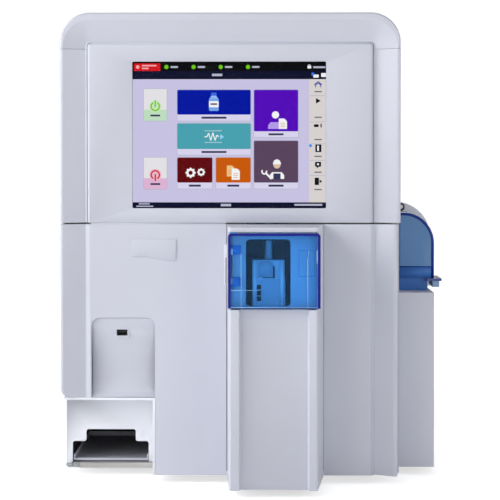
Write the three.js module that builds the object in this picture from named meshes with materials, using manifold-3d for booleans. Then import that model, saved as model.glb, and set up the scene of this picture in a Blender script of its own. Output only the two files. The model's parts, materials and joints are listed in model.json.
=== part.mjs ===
// Benchtop blood cell counter: touch screen hood, hinged front door with a sampling column,
// pull-out tray at the lower left and a side loader under a tinted lid.
// Millimetres, +Z up, the front faces -Y. The origin is the middle of the base on the bench.

import * as THREE from "three";
import { mergeVertices } from "three/addons/utils/BufferGeometryUtils.js";
import Module from "manifold-3d";

const wasm = await Module();
wasm.setup();

// Driving dimensions. X is measured from the middle of the cabinet, Y from the front face.
const gap = 0.3;
const seam = 2;
const overrun = 4;
const wall = 3;
const sheet = 2;
const quarterTurn = Math.PI / 2;
const fullTurn = Math.PI * 2;
const arcSteps = 6;
const roundSides = 20;
const smallSides = 10;

const body = { half: 215, depth: 430, top: 595.5, corner: 38, seamZ: 329.4, coverY: 45, sideDrop: 55.5 };
body.sideTop = body.top - body.sideDrop;
const foot = { radius: 18, height: 10, inset: 50, frontY: 112, rearInset: 45 };
foot.side = body.half - foot.inset;
foot.rearY = body.depth - foot.rearInset;
const base = foot.height;
const front = {
  rimOut: 5,
  rimSide: 4.4,
  rimTop: 9.2,
  rimBreak: 2,
  valleyIn: 5,
  valleySide: 31.5,
  valleyTop: 36,
  valleyCorner: 6,
  panelSide: 37,
  panelTop: 40.5,
  panelCorner: 3,
  splitSide: 34,
  splitTop: 38,
  splitCorner: 4,
  stripDrop: 45.9,
  groove: 0.8,
};
front.stripTop = body.top - front.stripDrop;
const screen = {
  x: -1.2,
  drop: 154.2,
  width: 245,
  height: 185.4,
  corner: 2,
  glass: 3,
  glassLap: 4,
  cell: 9,
  cellLap: 8,
};
screen.z = body.top - screen.drop;
const frame = { border: 7, depth: 15 };

// Lower left: everything here keeps its distance from the cabinet's left side.
const usb = { inset: 39.5, width: 80, top: 209.5, height: 100.5, corner: 11, scoop: 12 };
usb.left = usb.inset - body.half;
usb.right = usb.left + usb.width;
usb.bottom = usb.top - usb.height;
const socket = {
  y: 5.4,
  inset: 38.3,
  drop: 18.9,
  width: 13.4,
  height: 7.4,
  shell: 0.8,
  depth: 14,
  play: 0.5,
};
socket.x = usb.left + socket.inset;
socket.z = usb.top - socket.drop;
const badge = {
  inset: 90.7,
  width: 55.7,
  drop: 20.1,
  leftHigh: 22.3,
  rightHigh: 25.7,
  thickness: 1,
  wave: 3,
};
badge.left = badge.inset - body.half;
badge.right = badge.left + badge.width;
badge.top = body.seamZ - badge.drop;
badge.leftFoot = badge.top - badge.leftHigh;
badge.rightFoot = badge.top - badge.rightHigh;
const bay = {
  y: 53,
  inset: 1.7,
  width: 115.1,
  lap: 0.7,
  notchIn: 25,
  notchWidth: 64.2,
  notchTop: 58.6,
  mouthIn: 7.1,
  mouthWidth: 99,
  mouthTop: 43,
  legBottom: 14,
};
bay.left = bay.inset - body.half;
bay.right = bay.left + bay.width;
bay.ceiling = usb.bottom - bay.lap;
bay.notchLeft = bay.left + bay.notchIn;
bay.notchRight = bay.notchLeft + bay.notchWidth;
bay.mouthLeft = bay.left + bay.mouthIn;
bay.mouthRight = bay.mouthLeft + bay.mouthWidth;
const liner = { depth: 205, wall: 1.5, top: 62 };
const tray = { side: 1.5, floor: 2, depth: 165, lip: 3, setback: 3, play: 1, rail: 8 };
const strip = { inset: 17.5, width: 95.5, y: 44, top: 17, thickness: 1.2 };
strip.left = bay.left + strip.inset;
strip.right = strip.left + strip.width;

// Front door with its column, the plate behind the tinted cover, and that cover
const column = {
  leftBase: -3.6,
  rightBase: 118.3,
  leftFront: 0.2,
  rightFront: 107.9,
  out: 89,
  edge: 2,
  leftRib: 14,
  rightRib: 12.5,
  channelIn: 6,
  ribSlope: 2,
  flange: 8,
  notchY: 75,
};
column.channelLeft = column.leftFront + column.leftRib;
column.channelRight = column.rightFront - column.rightRib;
column.top = body.seamZ - seam / 2;
const door = { inset: 3.5, rimSide: 5.5, returnY: 11, swing: 5.5, valleySide: 28, panelSide: 33.5 };
door.right = body.half - door.inset;
const hinge = {
  inset: 6.3,
  y: 6.6,
  pin: 2.5,
  boss: 5,
  armHalf: 4,
  armHeight: 3,
  ear: 5,
  lift: 14,
  pinLength: 12,
  relief: 7,
};
hinge.x = door.right - hinge.inset;
const latch = { z: 170, height: 14, width: 4, forward: 6, back: 17 };
const cover = {
  lapLeft: 1.1,
  lapRight: 2.7,
  lapFront: 2,
  drop: 7.4,
  height: 90,
  depth: 12,
  wall: 2.4,
  corner: 4,
};
cover.left = column.leftFront - cover.lapLeft;
cover.right = column.rightFront + cover.lapRight;
cover.top = column.top - cover.drop;
cover.bottom = cover.top - cover.height;
cover.out = column.out + cover.lapFront;
const face = { y: 70.5, thickness: 3, lug: 7, lugOut: 9.5, lugWide: 12.9, upperDrop: 22, lowerDrop: 58 };
face.lugRight = cover.left + face.lugWide;
face.upperLug = cover.top - face.upperDrop;
face.lowerLug = cover.top - face.lowerDrop;
const coverHinge = { inset: 5.7, back: 9, pin: 1.5, ear: 3, earWide: 6, earDeep: 5 };
coverHinge.x = cover.left + coverHinge.inset;
coverHinge.y = cover.out - coverHinge.back;

// Tube bay, holder and probe
const tubeBay = {
  inset: 21.4,
  width: 54.4,
  under: 2.3,
  drop: 7.5,
  y: 60,
  back: 64,
  wall: 2.5,
  roofBack: 4,
};
tubeBay.left = cover.left + tubeBay.inset;
tubeBay.right = tubeBay.left + tubeBay.width;
tubeBay.bottom = cover.bottom - tubeBay.under;
tubeBay.top = cover.top - tubeBay.drop;
const holder = {
  inset: 28,
  frontY: 57,
  depth: 36,
  width: 39.3,
  footWidth: 40.6,
  step: 34.3,
  height: 58.2,
  wellR: 7,
  wellY: 46,
  floor: 8.3,
  windowWidth: 15.2,
  sill: 36.3,
  windowHigh: 18,
  rodR: 4.6,
  rodY: 28,
  rodHigh: 80.8,
  slotLeft: -14.4,
  slotWidth: 6,
  slotHeight: 4.2,
  slotDepth: 2,
  slotPitch: 6.6,
  slotUp: 10.3,
};
holder.x = tubeBay.left + holder.inset;
holder.stepZ = tubeBay.bottom + holder.step;
holder.top = tubeBay.bottom + holder.height;
holder.wellFloor = tubeBay.bottom + holder.floor;
holder.windowBottom = tubeBay.bottom + holder.sill;
holder.windowTop = holder.windowBottom + holder.windowHigh;
holder.rodTop = tubeBay.bottom + holder.rodHigh;
holder.slotZ = tubeBay.bottom + holder.slotUp;
const probe = {
  y: 30,
  needleR: 1.2,
  rise: 2.9,
  carriageUp: 63,
  height: 24,
  depth: 13,
  guideY: 57,
  guideSpread: 12.5,
  guideR: 3,
  side: 18.5,
  play: 0.4,
  armWide: 9,
  armHigh: 8,
  frameUp: 3.5,
  frameHigh: 163,
  frameSide: 29,
  shelf: 4,
  footUp: 3.3,
};
probe.tip = holder.rodTop + probe.rise;
probe.frameBottom = tubeBay.top + probe.frameUp;
probe.frameTop = probe.frameBottom + probe.frameHigh;
probe.carriage = probe.frameBottom + probe.carriageUp;
probe.footZ = tubeBay.bottom + probe.footUp;
const drive = { x: 37, drop: 18, up: 23, radius: 8, width: 7, shaftR: 2, y: 52, belt: 1.6, beltWide: 5 };
drive.top = probe.frameTop - drive.drop;
drive.bottom = probe.frameBottom + drive.up;
const motor = { size: 36, length: 32, corner: 3, shaftIn: 10 };

// Inside: stores, deck and electronics
const bulkhead = { y: 30 };
const reagent = { inset: 11, width: 107, depth: 160, bottom: 13, height: 213, wall: 2.5 };
reagent.right = body.half - reagent.inset;
reagent.left = reagent.right - reagent.width;
reagent.top = reagent.bottom + reagent.height;
const bottle = {
  width: 46,
  deep: 78,
  height: 150,
  corner: 8,
  neckR: 14,
  neck: 12,
  capR: 18,
  cap: 16,
  back: 32,
};
bottle.y = bulkhead.y + bottle.back;
const deck = { above: 10, frontY: 82, backInset: 30, inset: 10, legAside: 1.2, legRoom: 5 };
deck.z = reagent.top + deck.above;
deck.backY = body.depth - deck.backInset;
deck.side = body.half - deck.inset;
deck.legLeft = bay.right + deck.legAside;
deck.legRight = reagent.left - deck.legRoom;
const bench = { inset: 50, width: 130, y: 120, deep: 170, height: 70, snout: 18, snoutLength: 30 };
bench.left = bench.inset - body.half;
const board = {
  inset: 25,
  width: 204,
  drop: 60.5,
  height: 185,
  thickness: 1.6,
  standoff: 3.5,
  postR: 4,
  postInset: 14,
};
board.left = board.inset - body.half;
board.right = board.left + board.width;
board.top = body.top - board.drop;
board.bottom = board.top - board.height;

// Loader on the right side: its places follow from that side.
const module = {
  width: 49.2,
  y: 54,
  depth: 276,
  top: 237.4,
  well: 34,
  wellIn: 37,
  wellDeep: 55,
  wellFloor: 140,
};
module.left = body.half + gap;
module.right = module.left + module.width;
module.wellY = module.y + module.wellIn;
const lid = { inset: 7, lap: 3, back: 31, depth: 64, above: 102.7, radius: 40.2, under: 16.5, wall: 2.5 };
lid.left = module.left + lid.inset;
lid.right = module.right + lid.lap;
lid.y = module.y + lid.back;
lid.top = module.top + lid.above;
lid.bottom = module.top + lid.under;
const lidHinge = { inset: 4.7, drop: 5.8, pin: 1.6, ear: 4, earHalf: 3.4, pinIn: 7 };
lidHinge.x = lid.left + lidHinge.inset;
lidHinge.z = lid.top - lidHinge.drop;
lidHinge.pinFront = lid.y + lidHinge.pinIn;
const grip = {
  out: 9.6,
  width: 19.9,
  forward: 5,
  depth: 50,
  thickness: 3.4,
  tabIn: 3,
  tabWide: 9,
  tabHigh: 8,
};
grip.right = lid.right + grip.out;
grip.left = grip.right - grip.width;
grip.frontY = lid.y - grip.forward;
const collar = { room: 8, above: 28.6, inset: 3.3, wall: 3.5 };
collar.right = lid.right - collar.room;
collar.top = module.top + collar.above;
const rearCase = { centreIn: 7.3, centreUp: 67.7, radius: 47.3, behind: 1, wall: 2.5 };
rearCase.centreX = module.left + rearCase.centreIn;
rearCase.centreZ = module.top + rearCase.centreUp;
rearCase.y = lid.y + lid.depth + rearCase.behind;
rearCase.depth = module.y + module.depth - rearCase.y;

// Rear and side fittings
const fan = {
  x: -110,
  z: 440,
  size: 120,
  depth: 25,
  bore: 56,
  hub: 20,
  blades: 7,
  blade: 1.6,
  pitch: 0.6,
  play: 2,
};
const grille = { slots: 9, slot: 5, pitch: 11 };
const inlet = {
  inset: 95,
  z: 70,
  width: 30,
  height: 24,
  depth: 26,
  flange: 4,
  lip: 2,
  wall: 3,
  pin: 1.6,
  pinSpread: 6,
  pinLength: 14,
};
inlet.x = body.half - inlet.inset;
const rocker = { aside: 32, width: 20, height: 26, depth: 12, bezel: 4, out: 3 };
rocker.x = inlet.x + rocker.aside;
const ports = {
  x: 20,
  z: 90,
  width: 70,
  height: 40,
  thickness: 4,
  nipples: 3,
  pitch: 20,
  nippleR: 4,
  nipple: 16,
  barb: 1.2,
  bore: 2.4,
};
const data = {
  sideInset: 85,
  z: 160,
  width: 60,
  height: 24,
  depth: 18,
  jackWide: 14,
  jackHigh: 12,
  portHigh: 6,
  inset: 7,
};
data.x = body.half - data.sideInset;
const vents = { count: 9, pitch: 14, slot: 6, height: 70, rearInset: 180, z: 420 };
vents.y = body.depth - vents.rearInset;

// Finishes
const finishes = {
  white: { color: 0xd9dde8, roughness: 0.45, metalness: 0 },
  cool: { color: 0xcfd3de, roughness: 0.5, metalness: 0 },
  grey: { color: 0xb9bbc8, roughness: 0.5, metalness: 0 },
  dark: { color: 0x2a2b30, roughness: 0.6, metalness: 0 },
  black: { color: 0x101114, roughness: 0.4, metalness: 0 },
  glass: { color: 0x0c0e16, roughness: 0.08, metalness: 0 },
  blue: { color: 0x2f7fd6, roughness: 0.15, metalness: 0 },
  steel: { color: 0xb8bcc0, roughness: 0.3, metalness: 1 },
  zinc: { color: 0x9aa0a4, roughness: 0.45, metalness: 0.9 },
  rubber: { color: 0x1a1a1a, roughness: 0.9, metalness: 0 },
  board: { color: 0x14603a, roughness: 0.6, metalness: 0 },
  bottle: { color: 0xe9eef0, roughness: 0.4, metalness: 0 },
};

// Solids from three.js geometry
function solid(geometry) {
  const bare = geometry.index ? geometry.toNonIndexed() : geometry.clone();
  bare.deleteAttribute("normal");
  bare.deleteAttribute("uv");
  const merged = mergeVertices(bare);
  return new wasm.Manifold(
    new wasm.Mesh({
      numProp: 3,
      vertProperties: merged.attributes.position.array,
      triVerts: new Uint32Array(merged.index.array),
    }),
  );
}

function block(x, y, z) {
  const box = new THREE.BoxGeometry(x[1] - x[0], y[1] - y[0], z[1] - z[0]);
  return solid(box.translate((x[0] + x[1]) / 2, (y[0] + y[1]) / 2, (z[0] + z[1]) / 2));
}

// Turns an extrusion along +Z into one along the named axis, with the outline in the other two.
const alongAxis = {
  x: new THREE.Matrix4().set(0, 0, 1, 0, 1, 0, 0, 0, 0, 1, 0, 0, 0, 0, 0, 1),
  y: new THREE.Matrix4().makeRotationX(quarterTurn),
  z: new THREE.Matrix4(),
};

function prism(axis, outline, from, to) {
  const shape = outline instanceof THREE.Shape ? outline : new THREE.Shape(
    outline.map((p) => new THREE.Vector2(...p)),
  );
  const options = { depth: to - from, bevelEnabled: false, curveSegments: arcSteps };
  const geometry = new THREE.ExtrudeGeometry(shape, options).applyMatrix4(alongAxis[axis]);
  const start = { x: [from, 0, 0], y: [0, to, 0], z: [0, 0, from] }[axis];
  return solid(geometry.translate(...start));
}

function rod(axis, centre, radius, from, to, sides = roundSides) {
  const shape = new THREE.Shape();
  for (let i = 0; i < sides; i += 1) {
    const turn = (i / sides) * fullTurn;
    const point = [centre[0] + radius * Math.cos(turn), centre[1] + radius * Math.sin(turn)];
    if (i) shape.lineTo(...point);
    else shape.moveTo(...point);
  }
  return prism(axis, shape, from, to);
}

function roundedRect(left, right, bottom, top, radius) {
  const shape = new THREE.Shape();
  shape.moveTo(left + radius, bottom);
  shape.absarc(right - radius, bottom + radius, radius, -quarterTurn, 0);
  shape.absarc(right - radius, top - radius, radius, 0, quarterTurn);
  shape.absarc(left + radius, top - radius, radius, quarterTurn, 2 * quarterTurn);
  shape.absarc(left + radius, bottom + radius, radius, 2 * quarterTurn, 3 * quarterTurn);
  return shape;
}

// An upright panel with its two upper corners rounded.
function archRect(half, bottom, top, radius) {
  const shape = new THREE.Shape();
  shape.moveTo(half, bottom);
  shape.lineTo(half, top - radius);
  shape.absarc(half - radius, top - radius, radius, 0, quarterTurn);
  shape.absarc(radius - half, top - radius, radius, quarterTurn, 2 * quarterTurn);
  shape.lineTo(-half, bottom);
  return shape;
}

// A folded sheet: the path and its copy one thickness to the left of it.
function fold(path, thickness) {
  const points = path.map((p) => new THREE.Vector2(...p));
  const normals = points.slice(1).map((p, i) => {
    const run = p.clone().sub(points[i]).normalize();
    return new THREE.Vector2(-run.y, run.x);
  });
  const inner = points.map((p, i) => {
    const before = normals[Math.max(i - 1, 0)];
    const after = normals[Math.min(i, normals.length - 1)];
    const mitre = before.clone().add(after);
    return p.clone().addScaledVector(mitre, thickness / (1 + before.dot(after)));
  });
  return [...points, ...inner.reverse()].map((p) => [p.x, p.y]);
}

// Skins a row of outlines with equal point counts and closes both ends.
function loft(rings) {
  const count = rings[0].length;
  const corner = (ring, i) => rings[ring][i % count];
  const triangles = [];
  for (let ring = 0; ring + 1 < rings.length; ring += 1)
    for (let i = 0; i < count; i += 1) {
      triangles.push(corner(ring, i), corner(ring, i + 1), corner(ring + 1, i + 1));
      triangles.push(corner(ring, i), corner(ring + 1, i + 1), corner(ring + 1, i));
    }
  const cap = (ring, order) => {
    const contour = ring.map((p) => new THREE.Vector2(p[0], p[2]));
    for (const face of THREE.ShapeUtils.triangulateShape(contour, []))
      triangles.push(...order.map((k) => ring[face[k]]));
  };
  cap(rings[0], [0, 2, 1]);
  cap(rings[rings.length - 1], [0, 1, 2]);
  const geometry = new THREE.BufferGeometry();
  geometry.setAttribute("position", new THREE.Float32BufferAttribute(triangles.flat(), 3));
  return solid(geometry);
}

function piece(name, shape, finish) {
  const mesh = shape.getMesh();
  const geometry = new THREE.BufferGeometry();
  geometry.setAttribute("position", new THREE.BufferAttribute(mesh.vertProperties, 3));
  geometry.setIndex(new THREE.BufferAttribute(mesh.triVerts, 1));
  geometry.computeVertexNormals();
  const made = new THREE.Mesh(geometry, new THREE.MeshStandardMaterial(finishes[finish]));
  made.name = name;
  return made;
}

function group(...children) {
  const made = new THREE.Group();
  made.add(...children);
  return made;
}

const union = (first, ...rest) => rest.reduce((all, next) => all.add(next), first);
const cut = (first, ...rest) => rest.reduce((left, next) => left.subtract(next), first);
const around = (middle, half) => [middle - half, middle + half];

// Hood
const hoodBottom = body.seamZ + seam / 2;
const doorTop = body.seamZ - seam / 2;

function hoodRing(side, top, corner, y) {
  const half = body.half - side;
  const height = body.top - top;
  const low = hoodBottom - overrun;
  const ring = [[half, y, low]];
  for (const [centre, start] of [[half - corner, 0], [corner - half, quarterTurn]])
    for (let i = 0; i <= arcSteps; i += 1) {
      const turn = start + (i / arcSteps) * quarterTurn;
      ring.push([centre + corner * Math.cos(turn), y, height - corner + corner * Math.sin(turn)]);
    }
  ring.push([-half, y, low]);
  return ring;
}

function hoodSkin() {
  const f = front;
  const outer = loft([
    hoodRing(0, 0, body.corner, body.coverY),
    hoodRing(0, 0, body.corner, f.rimBreak - f.rimOut),
    hoodRing(f.rimBreak, f.rimBreak, body.corner - f.rimBreak, -f.rimOut),
    hoodRing(f.rimSide, f.rimTop, body.corner - f.rimSide, -f.rimOut),
    hoodRing(f.valleySide, f.valleyTop, f.valleyCorner, f.valleyIn),
    hoodRing(f.panelSide, f.panelTop, f.panelCorner, 0),
  ]);
  const inner = loft([
    hoodRing(wall, wall, body.corner - wall, body.coverY + overrun),
    hoodRing(wall, wall, body.corner - wall, wall - f.rimOut),
    hoodRing(wall + f.rimSide, wall + f.rimTop, body.corner - wall - f.rimSide, wall - f.rimOut),
    hoodRing(f.valleySide, f.valleyTop, f.valleyCorner, f.valleyIn + wall),
    hoodRing(f.panelSide + wall / 2, f.panelTop + wall / 2, f.panelCorner - wall / 2, wall),
  ]);
  const reach = body.half + overrun;
  const below = block(
    [-reach, reach],
    [-f.rimOut - overrun, body.coverY + overrun],
    [body.seamZ - overrun, hoodBottom],
  );
  return cut(outer, inner, below);
}

// Section of the left edge in plan, from the side's back to the foot of the panel's step.
function edgePath() {
  const f = front;
  return [
    [-body.half, body.coverY],
    [-body.half, f.rimBreak - f.rimOut],
    [f.rimBreak - body.half, -f.rimOut],
    [f.rimSide - body.half, -f.rimOut],
    [f.valleySide - body.half, f.valleyIn],
  ];
}

function hoodStrip(name, side) {
  const f = front;
  const groove = f.splitSide - f.groove / 2;
  const rise = ((groove - f.valleySide) / (f.panelSide - f.valleySide)) * f.valleyIn;
  const path = [...edgePath(), [groove - body.half, f.valleyIn - rise]];
  const placed = side < 0 ? path : path.map(([x, y]) => [-x, y]).reverse();
  const edge = body.half - groove;
  const past = side < 0 ? [-edge, 0] : [0, edge];
  const trim = block(past, [-f.rimOut, body.coverY], [hoodBottom - overrun, f.stripTop + overrun]);
  return piece(name, cut(prism("z", fold(placed, wall), hoodBottom, f.stripTop), trim), "white");
}

function hoodPieces() {
  const f = front;
  const skin = hoodSkin();
  const depth = [-f.rimOut - overrun, body.coverY + overrun];
  const splitHalf = body.half - f.splitSide;
  const splitTop = body.top - f.splitTop;
  const panelArea = archRect(
    splitHalf - f.groove / 2,
    hoodBottom - overrun,
    splitTop - f.groove / 2,
    f.splitCorner,
  );
  const panelCut = archRect(
    splitHalf + f.groove / 2,
    hoodBottom - overrun,
    splitTop + f.groove / 2,
    f.splitCorner,
  );
  const window = roundedRect(
    ...around(screen.x, screen.width / 2),
    ...around(screen.z, screen.height / 2),
    screen.corner,
  );
  const fascia = cut(
    skin.intersect(prism("y", panelArea, ...depth)),
    prism("y", window, ...depth),
  );
  const surround = cut(skin, prism("y", panelCut, ...depth));
  const reach = body.half + overrun;
  const above = block([-reach, reach], depth, [f.stripTop + gap, body.top + overrun]);
  return [
    piece("hood_cowl", surround.intersect(above), "white"),
    hoodStrip("hood_left_strip", -1),
    hoodStrip("hood_right_strip", 1),
    piece("display_fascia", fascia, "white"),
  ];
}

function displayPieces() {
  const y = wall + gap;
  const glassX = around(screen.x, screen.width / 2 + screen.glassLap);
  const glassZ = around(screen.z, screen.height / 2 + screen.glassLap);
  const cellX = around(screen.x, screen.width / 2 + screen.cellLap);
  const cellZ = around(screen.z, screen.height / 2 + screen.cellLap);
  const cellY = y + screen.glass + gap;
  const grow = (span, by) => [span[0] - by, span[1] + by];
  const ring = cut(
    block(grow(cellX, frame.border), [y, y + frame.depth], grow(cellZ, frame.border)),
    block(grow(cellX, gap), [y - overrun, y + frame.depth - sheet], grow(cellZ, gap)),
    block(grow(cellX, -frame.border), [y, y + frame.depth + overrun], grow(cellZ, -frame.border)),
  );
  return [
    piece("touch_glass", block(glassX, [y, y + screen.glass], glassZ), "glass"),
    piece("display_module", block(cellX, [cellY, cellY + screen.cell], cellZ), "dark"),
    piece("display_frame", ring, "black"),
  ];
}

// Lower left front
const coverEdge = column.leftBase - seam / 2;

function leftFrontCover() {
  const f = front;
  const path = [...edgePath(), [f.panelSide - body.half, 0], [coverEdge, 0]];
  const through = [-f.rimOut - overrun, body.coverY + overrun];
  const bottom = bay.ceiling + gap;
  const opening = roundedRect(
    usb.left - gap,
    usb.right + gap,
    usb.bottom - usb.corner * 2,
    usb.top + gap,
    usb.corner,
  );
  const corner = new THREE.Shape();
  const round = usb.corner + wall;
  corner.moveTo(-body.half - overrun, bottom - overrun);
  corner.lineTo(round - body.half, bottom - overrun);
  corner.lineTo(round - body.half, bottom);
  corner.absarc(round - body.half, bottom + round, round, -quarterTurn, -2 * quarterTurn, true);
  corner.lineTo(-body.half - overrun, bottom + round);
  const shell = cut(
    prism("z", fold(path, wall), base, doorTop),
    prism("y", opening, ...through),
    block([-body.half - overrun, bay.right + wall + gap], through, [base - overrun, bottom]),
    prism("y", corner, ...through),
  );
  return piece("left_front_cover", shell, "white");
}

function usbFascia() {
  const scoopShares = [
    [0, 0.02],
    [0.03, 0.2],
    [0.2, 0.42],
    [0.42, 0.78],
    [0.62, 1],
    [0.8, 0.98],
    [0.93, 0.6],
    [1, 0.1],
  ];
  const height = usb.top - usb.bottom;
  const bend = new THREE.SplineCurve(
    scoopShares.map(([down, deep]) => new THREE.Vector2(deep * usb.scoop, usb.top - down * height)),
  );
  const path = bend.getPoints(scoopShares.length * 2).map((p) => [p.x, p.y]);
  const outline = roundedRect(usb.left, usb.right, usb.bottom - usb.corner * 2, usb.top, usb.corner);
  const hole = block(
    around(socket.x, socket.width / 2 + socket.play),
    [-overrun, usb.scoop + wall + overrun],
    around(socket.z, socket.height / 2 + socket.play),
  );
  const scoop = prism("x", fold(path, wall), usb.left, usb.right);
  const trimmed = scoop.intersect(prism("y", outline, -overrun, usb.scoop + wall + overrun));
  const below = block([usb.left, usb.right], [-overrun, usb.scoop + wall + overrun], [0, usb.bottom]);
  return piece("usb_fascia", cut(trimmed, hole, below), "white");
}

function usbSocket() {
  const y = [socket.y, socket.y + socket.depth];
  const outer = block(around(socket.x, socket.width / 2), y, around(socket.z, socket.height / 2));
  const inner = block(
    around(socket.x, socket.width / 2 - socket.shell),
    [y[0] - overrun, y[1] - wall],
    around(socket.z, socket.height / 2 - socket.shell),
  );
  return piece("usb_socket", cut(outer, inner), "steel");
}

function namePlate() {
  const outline = new THREE.Shape();
  const middle = (badge.left + badge.right) / 2;
  outline.moveTo(badge.left, badge.top);
  outline.lineTo(badge.left, badge.leftFoot);
  outline.quadraticCurveTo(
    (badge.left + middle) / 2,
    badge.leftFoot + badge.wave,
    middle,
    badge.leftFoot - badge.wave / 2,
  );
  outline.quadraticCurveTo(
    (badge.right + middle) / 2,
    badge.rightFoot - badge.wave,
    badge.right,
    badge.rightFoot,
  );
  outline.lineTo(badge.right, badge.top);
  return piece("name_plate", prism("y", outline, -badge.thickness - gap, -gap), "cool");
}

// Bay and tray
function bayShroud() {
  const outline = [
    [bay.left, bay.ceiling],
    [bay.right + wall, bay.ceiling],
    [bay.right + wall, base],
    [bay.mouthRight, base],
    [bay.mouthRight, bay.mouthTop],
    [bay.notchRight, bay.mouthTop],
    [bay.notchRight, bay.notchTop],
    [bay.notchLeft, bay.notchTop],
    [bay.notchLeft, bay.mouthTop],
    [bay.mouthLeft, bay.mouthTop],
    [bay.mouthLeft, bay.legBottom],
    [bay.left, bay.legBottom],
  ];
  const shell = union(
    prism("y", outline, bay.y, bay.y + wall),
    block([bay.right, bay.right + wall], [gap, bay.y + wall], [base, bay.ceiling]),
    block([gap - body.half, bay.right + wall], [gap, bay.y + wall], [bay.ceiling - wall, bay.ceiling]),
  );
  return piece("bay_shroud", shell, "cool");
}

const linerFloor = strip.top - liner.wall;
const linerBack = bay.y + wall + gap + liner.depth;

function bayLiner() {
  const outer = block(
    [bay.mouthLeft - liner.wall, bay.mouthRight + liner.wall],
    [bay.y + wall + gap, linerBack],
    [linerFloor, liner.top],
  );
  const inner = block(
    [bay.mouthLeft, bay.mouthRight],
    [bay.y, linerBack - liner.wall],
    [linerFloor + liner.wall, liner.top - liner.wall],
  );
  return piece("bay_liner", cut(outer, inner), "dark");
}

function guideStrip() {
  const path = [
    [bay.y - gap, strip.top],
    [strip.y, strip.top],
    [strip.y, base],
  ];
  return piece("guide_strip", prism("x", fold(path, strip.thickness), strip.left, strip.right), "steel");
}

function trayPiece() {
  const bottom = strip.top + gap;
  const y = [bay.y + tray.setback, bay.y + tray.setback + tray.depth];
  const left = bay.mouthLeft + tray.play;
  const right = bay.mouthRight - tray.play;
  const shell = cut(
    block([left, right], y, [bottom, bottom + tray.rail]),
    block(
      [left + tray.side, right - tray.side],
      [y[0] + tray.side, y[1] - tray.side],
      [bottom + tray.floor, bottom + tray.rail + overrun],
    ),
    block(
      [left + tray.side, right - tray.side],
      [y[0] - overrun, y[0] + overrun],
      [bottom + tray.lip, bottom + tray.rail + overrun],
    ),
  );
  return piece("tray", shell, "cool");
}

// Front door
const lowerArm = base + hinge.lift - hinge.ear / 2 - hinge.armHeight - gap;

function doorPanel() {
  const f = front;
  const path = [
    [column.rightBase + gap, 0],
    [door.right - door.panelSide, 0],
    [door.right - door.valleySide, f.valleyIn],
    [door.right - door.rimSide, -f.rimOut],
    [door.right - f.rimBreak, -f.rimOut],
    [door.right, f.rimBreak - f.rimOut],
    [door.right, door.returnY],
  ];
  const edge = door.right - wall;
  const inside = [hinge.y - hinge.ear, hinge.y + hinge.ear];
  const ears = [doorTop - hinge.ear, base + hinge.lift].map((z) =>
    block([hinge.x - hinge.boss, edge + wall / 2], inside, around(z, hinge.ear / 2)),
  );
  const armRoom = block(
    [hinge.x, door.right + overrun],
    [hinge.y - hinge.relief, door.returnY + overrun],
    [lowerArm - seam / 2, lowerArm + hinge.armHeight + gap],
  );
  const bores = rod("z", [hinge.x, hinge.y], hinge.pin + gap, base - overrun, doorTop + overrun);
  return piece(
    "door_panel",
    cut(union(prism("z", fold(path, wall), base, doorTop), ...ears), bores, armRoom),
    "white",
  );
}

function doorHinge(name, upper) {
  const z = upper ? doorTop + seam / 2 : lowerArm;
  const arm = block(
    around(hinge.x, hinge.armHalf),
    [hinge.y - hinge.armHalf, bulkhead.y - gap],
    [z, z + hinge.armHeight],
  );
  const pin = upper ? [z - hinge.pinLength, z + gap] : [z, z + hinge.pinLength];
  return piece(name, union(arm, rod("z", [hinge.x, hinge.y], hinge.pin, ...pin, smallSides)), "zinc");
}

function columnShell() {
  const c = column;
  const path = [
    [c.leftBase, c.flange],
    [c.leftBase, 0],
    [c.leftFront, c.edge - c.out],
    [c.leftFront + c.edge, -c.out],
    [c.channelLeft - c.ribSlope, -c.out],
    [c.channelLeft, c.channelIn - c.out],
    [c.channelRight, c.channelIn - c.out],
    [c.channelRight + c.ribSlope, -c.out],
    [c.rightFront - c.edge, -c.out],
    [c.rightFront, c.edge - c.out],
    [c.rightBase, 0],
    [c.rightBase, c.flange],
  ];
  const lid = [path[1], path[2], path[3], path[8], path[9], path[10]];
  const shell = union(prism("z", fold(path, wall), base, c.top), prism("z", lid, cover.top + seam, c.top));
  const notch = block(
    [c.leftBase - overrun, c.rightBase + overrun],
    [-c.out - overrun, -c.notchY],
    [cover.bottom - seam, cover.top + seam],
  );
  return piece("sampling_column", cut(shell, notch), "white");
}

// The flanks taper, so a plate behind the front is as wide as they leave it.
function flankX(y) {
  const share = y / (column.out - column.edge);
  return [
    column.leftBase + share * (column.leftFront - column.leftBase) + wall + gap * 2,
    column.rightBase + share * (column.rightFront - column.rightBase) - wall - gap * 2,
  ];
}

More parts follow.
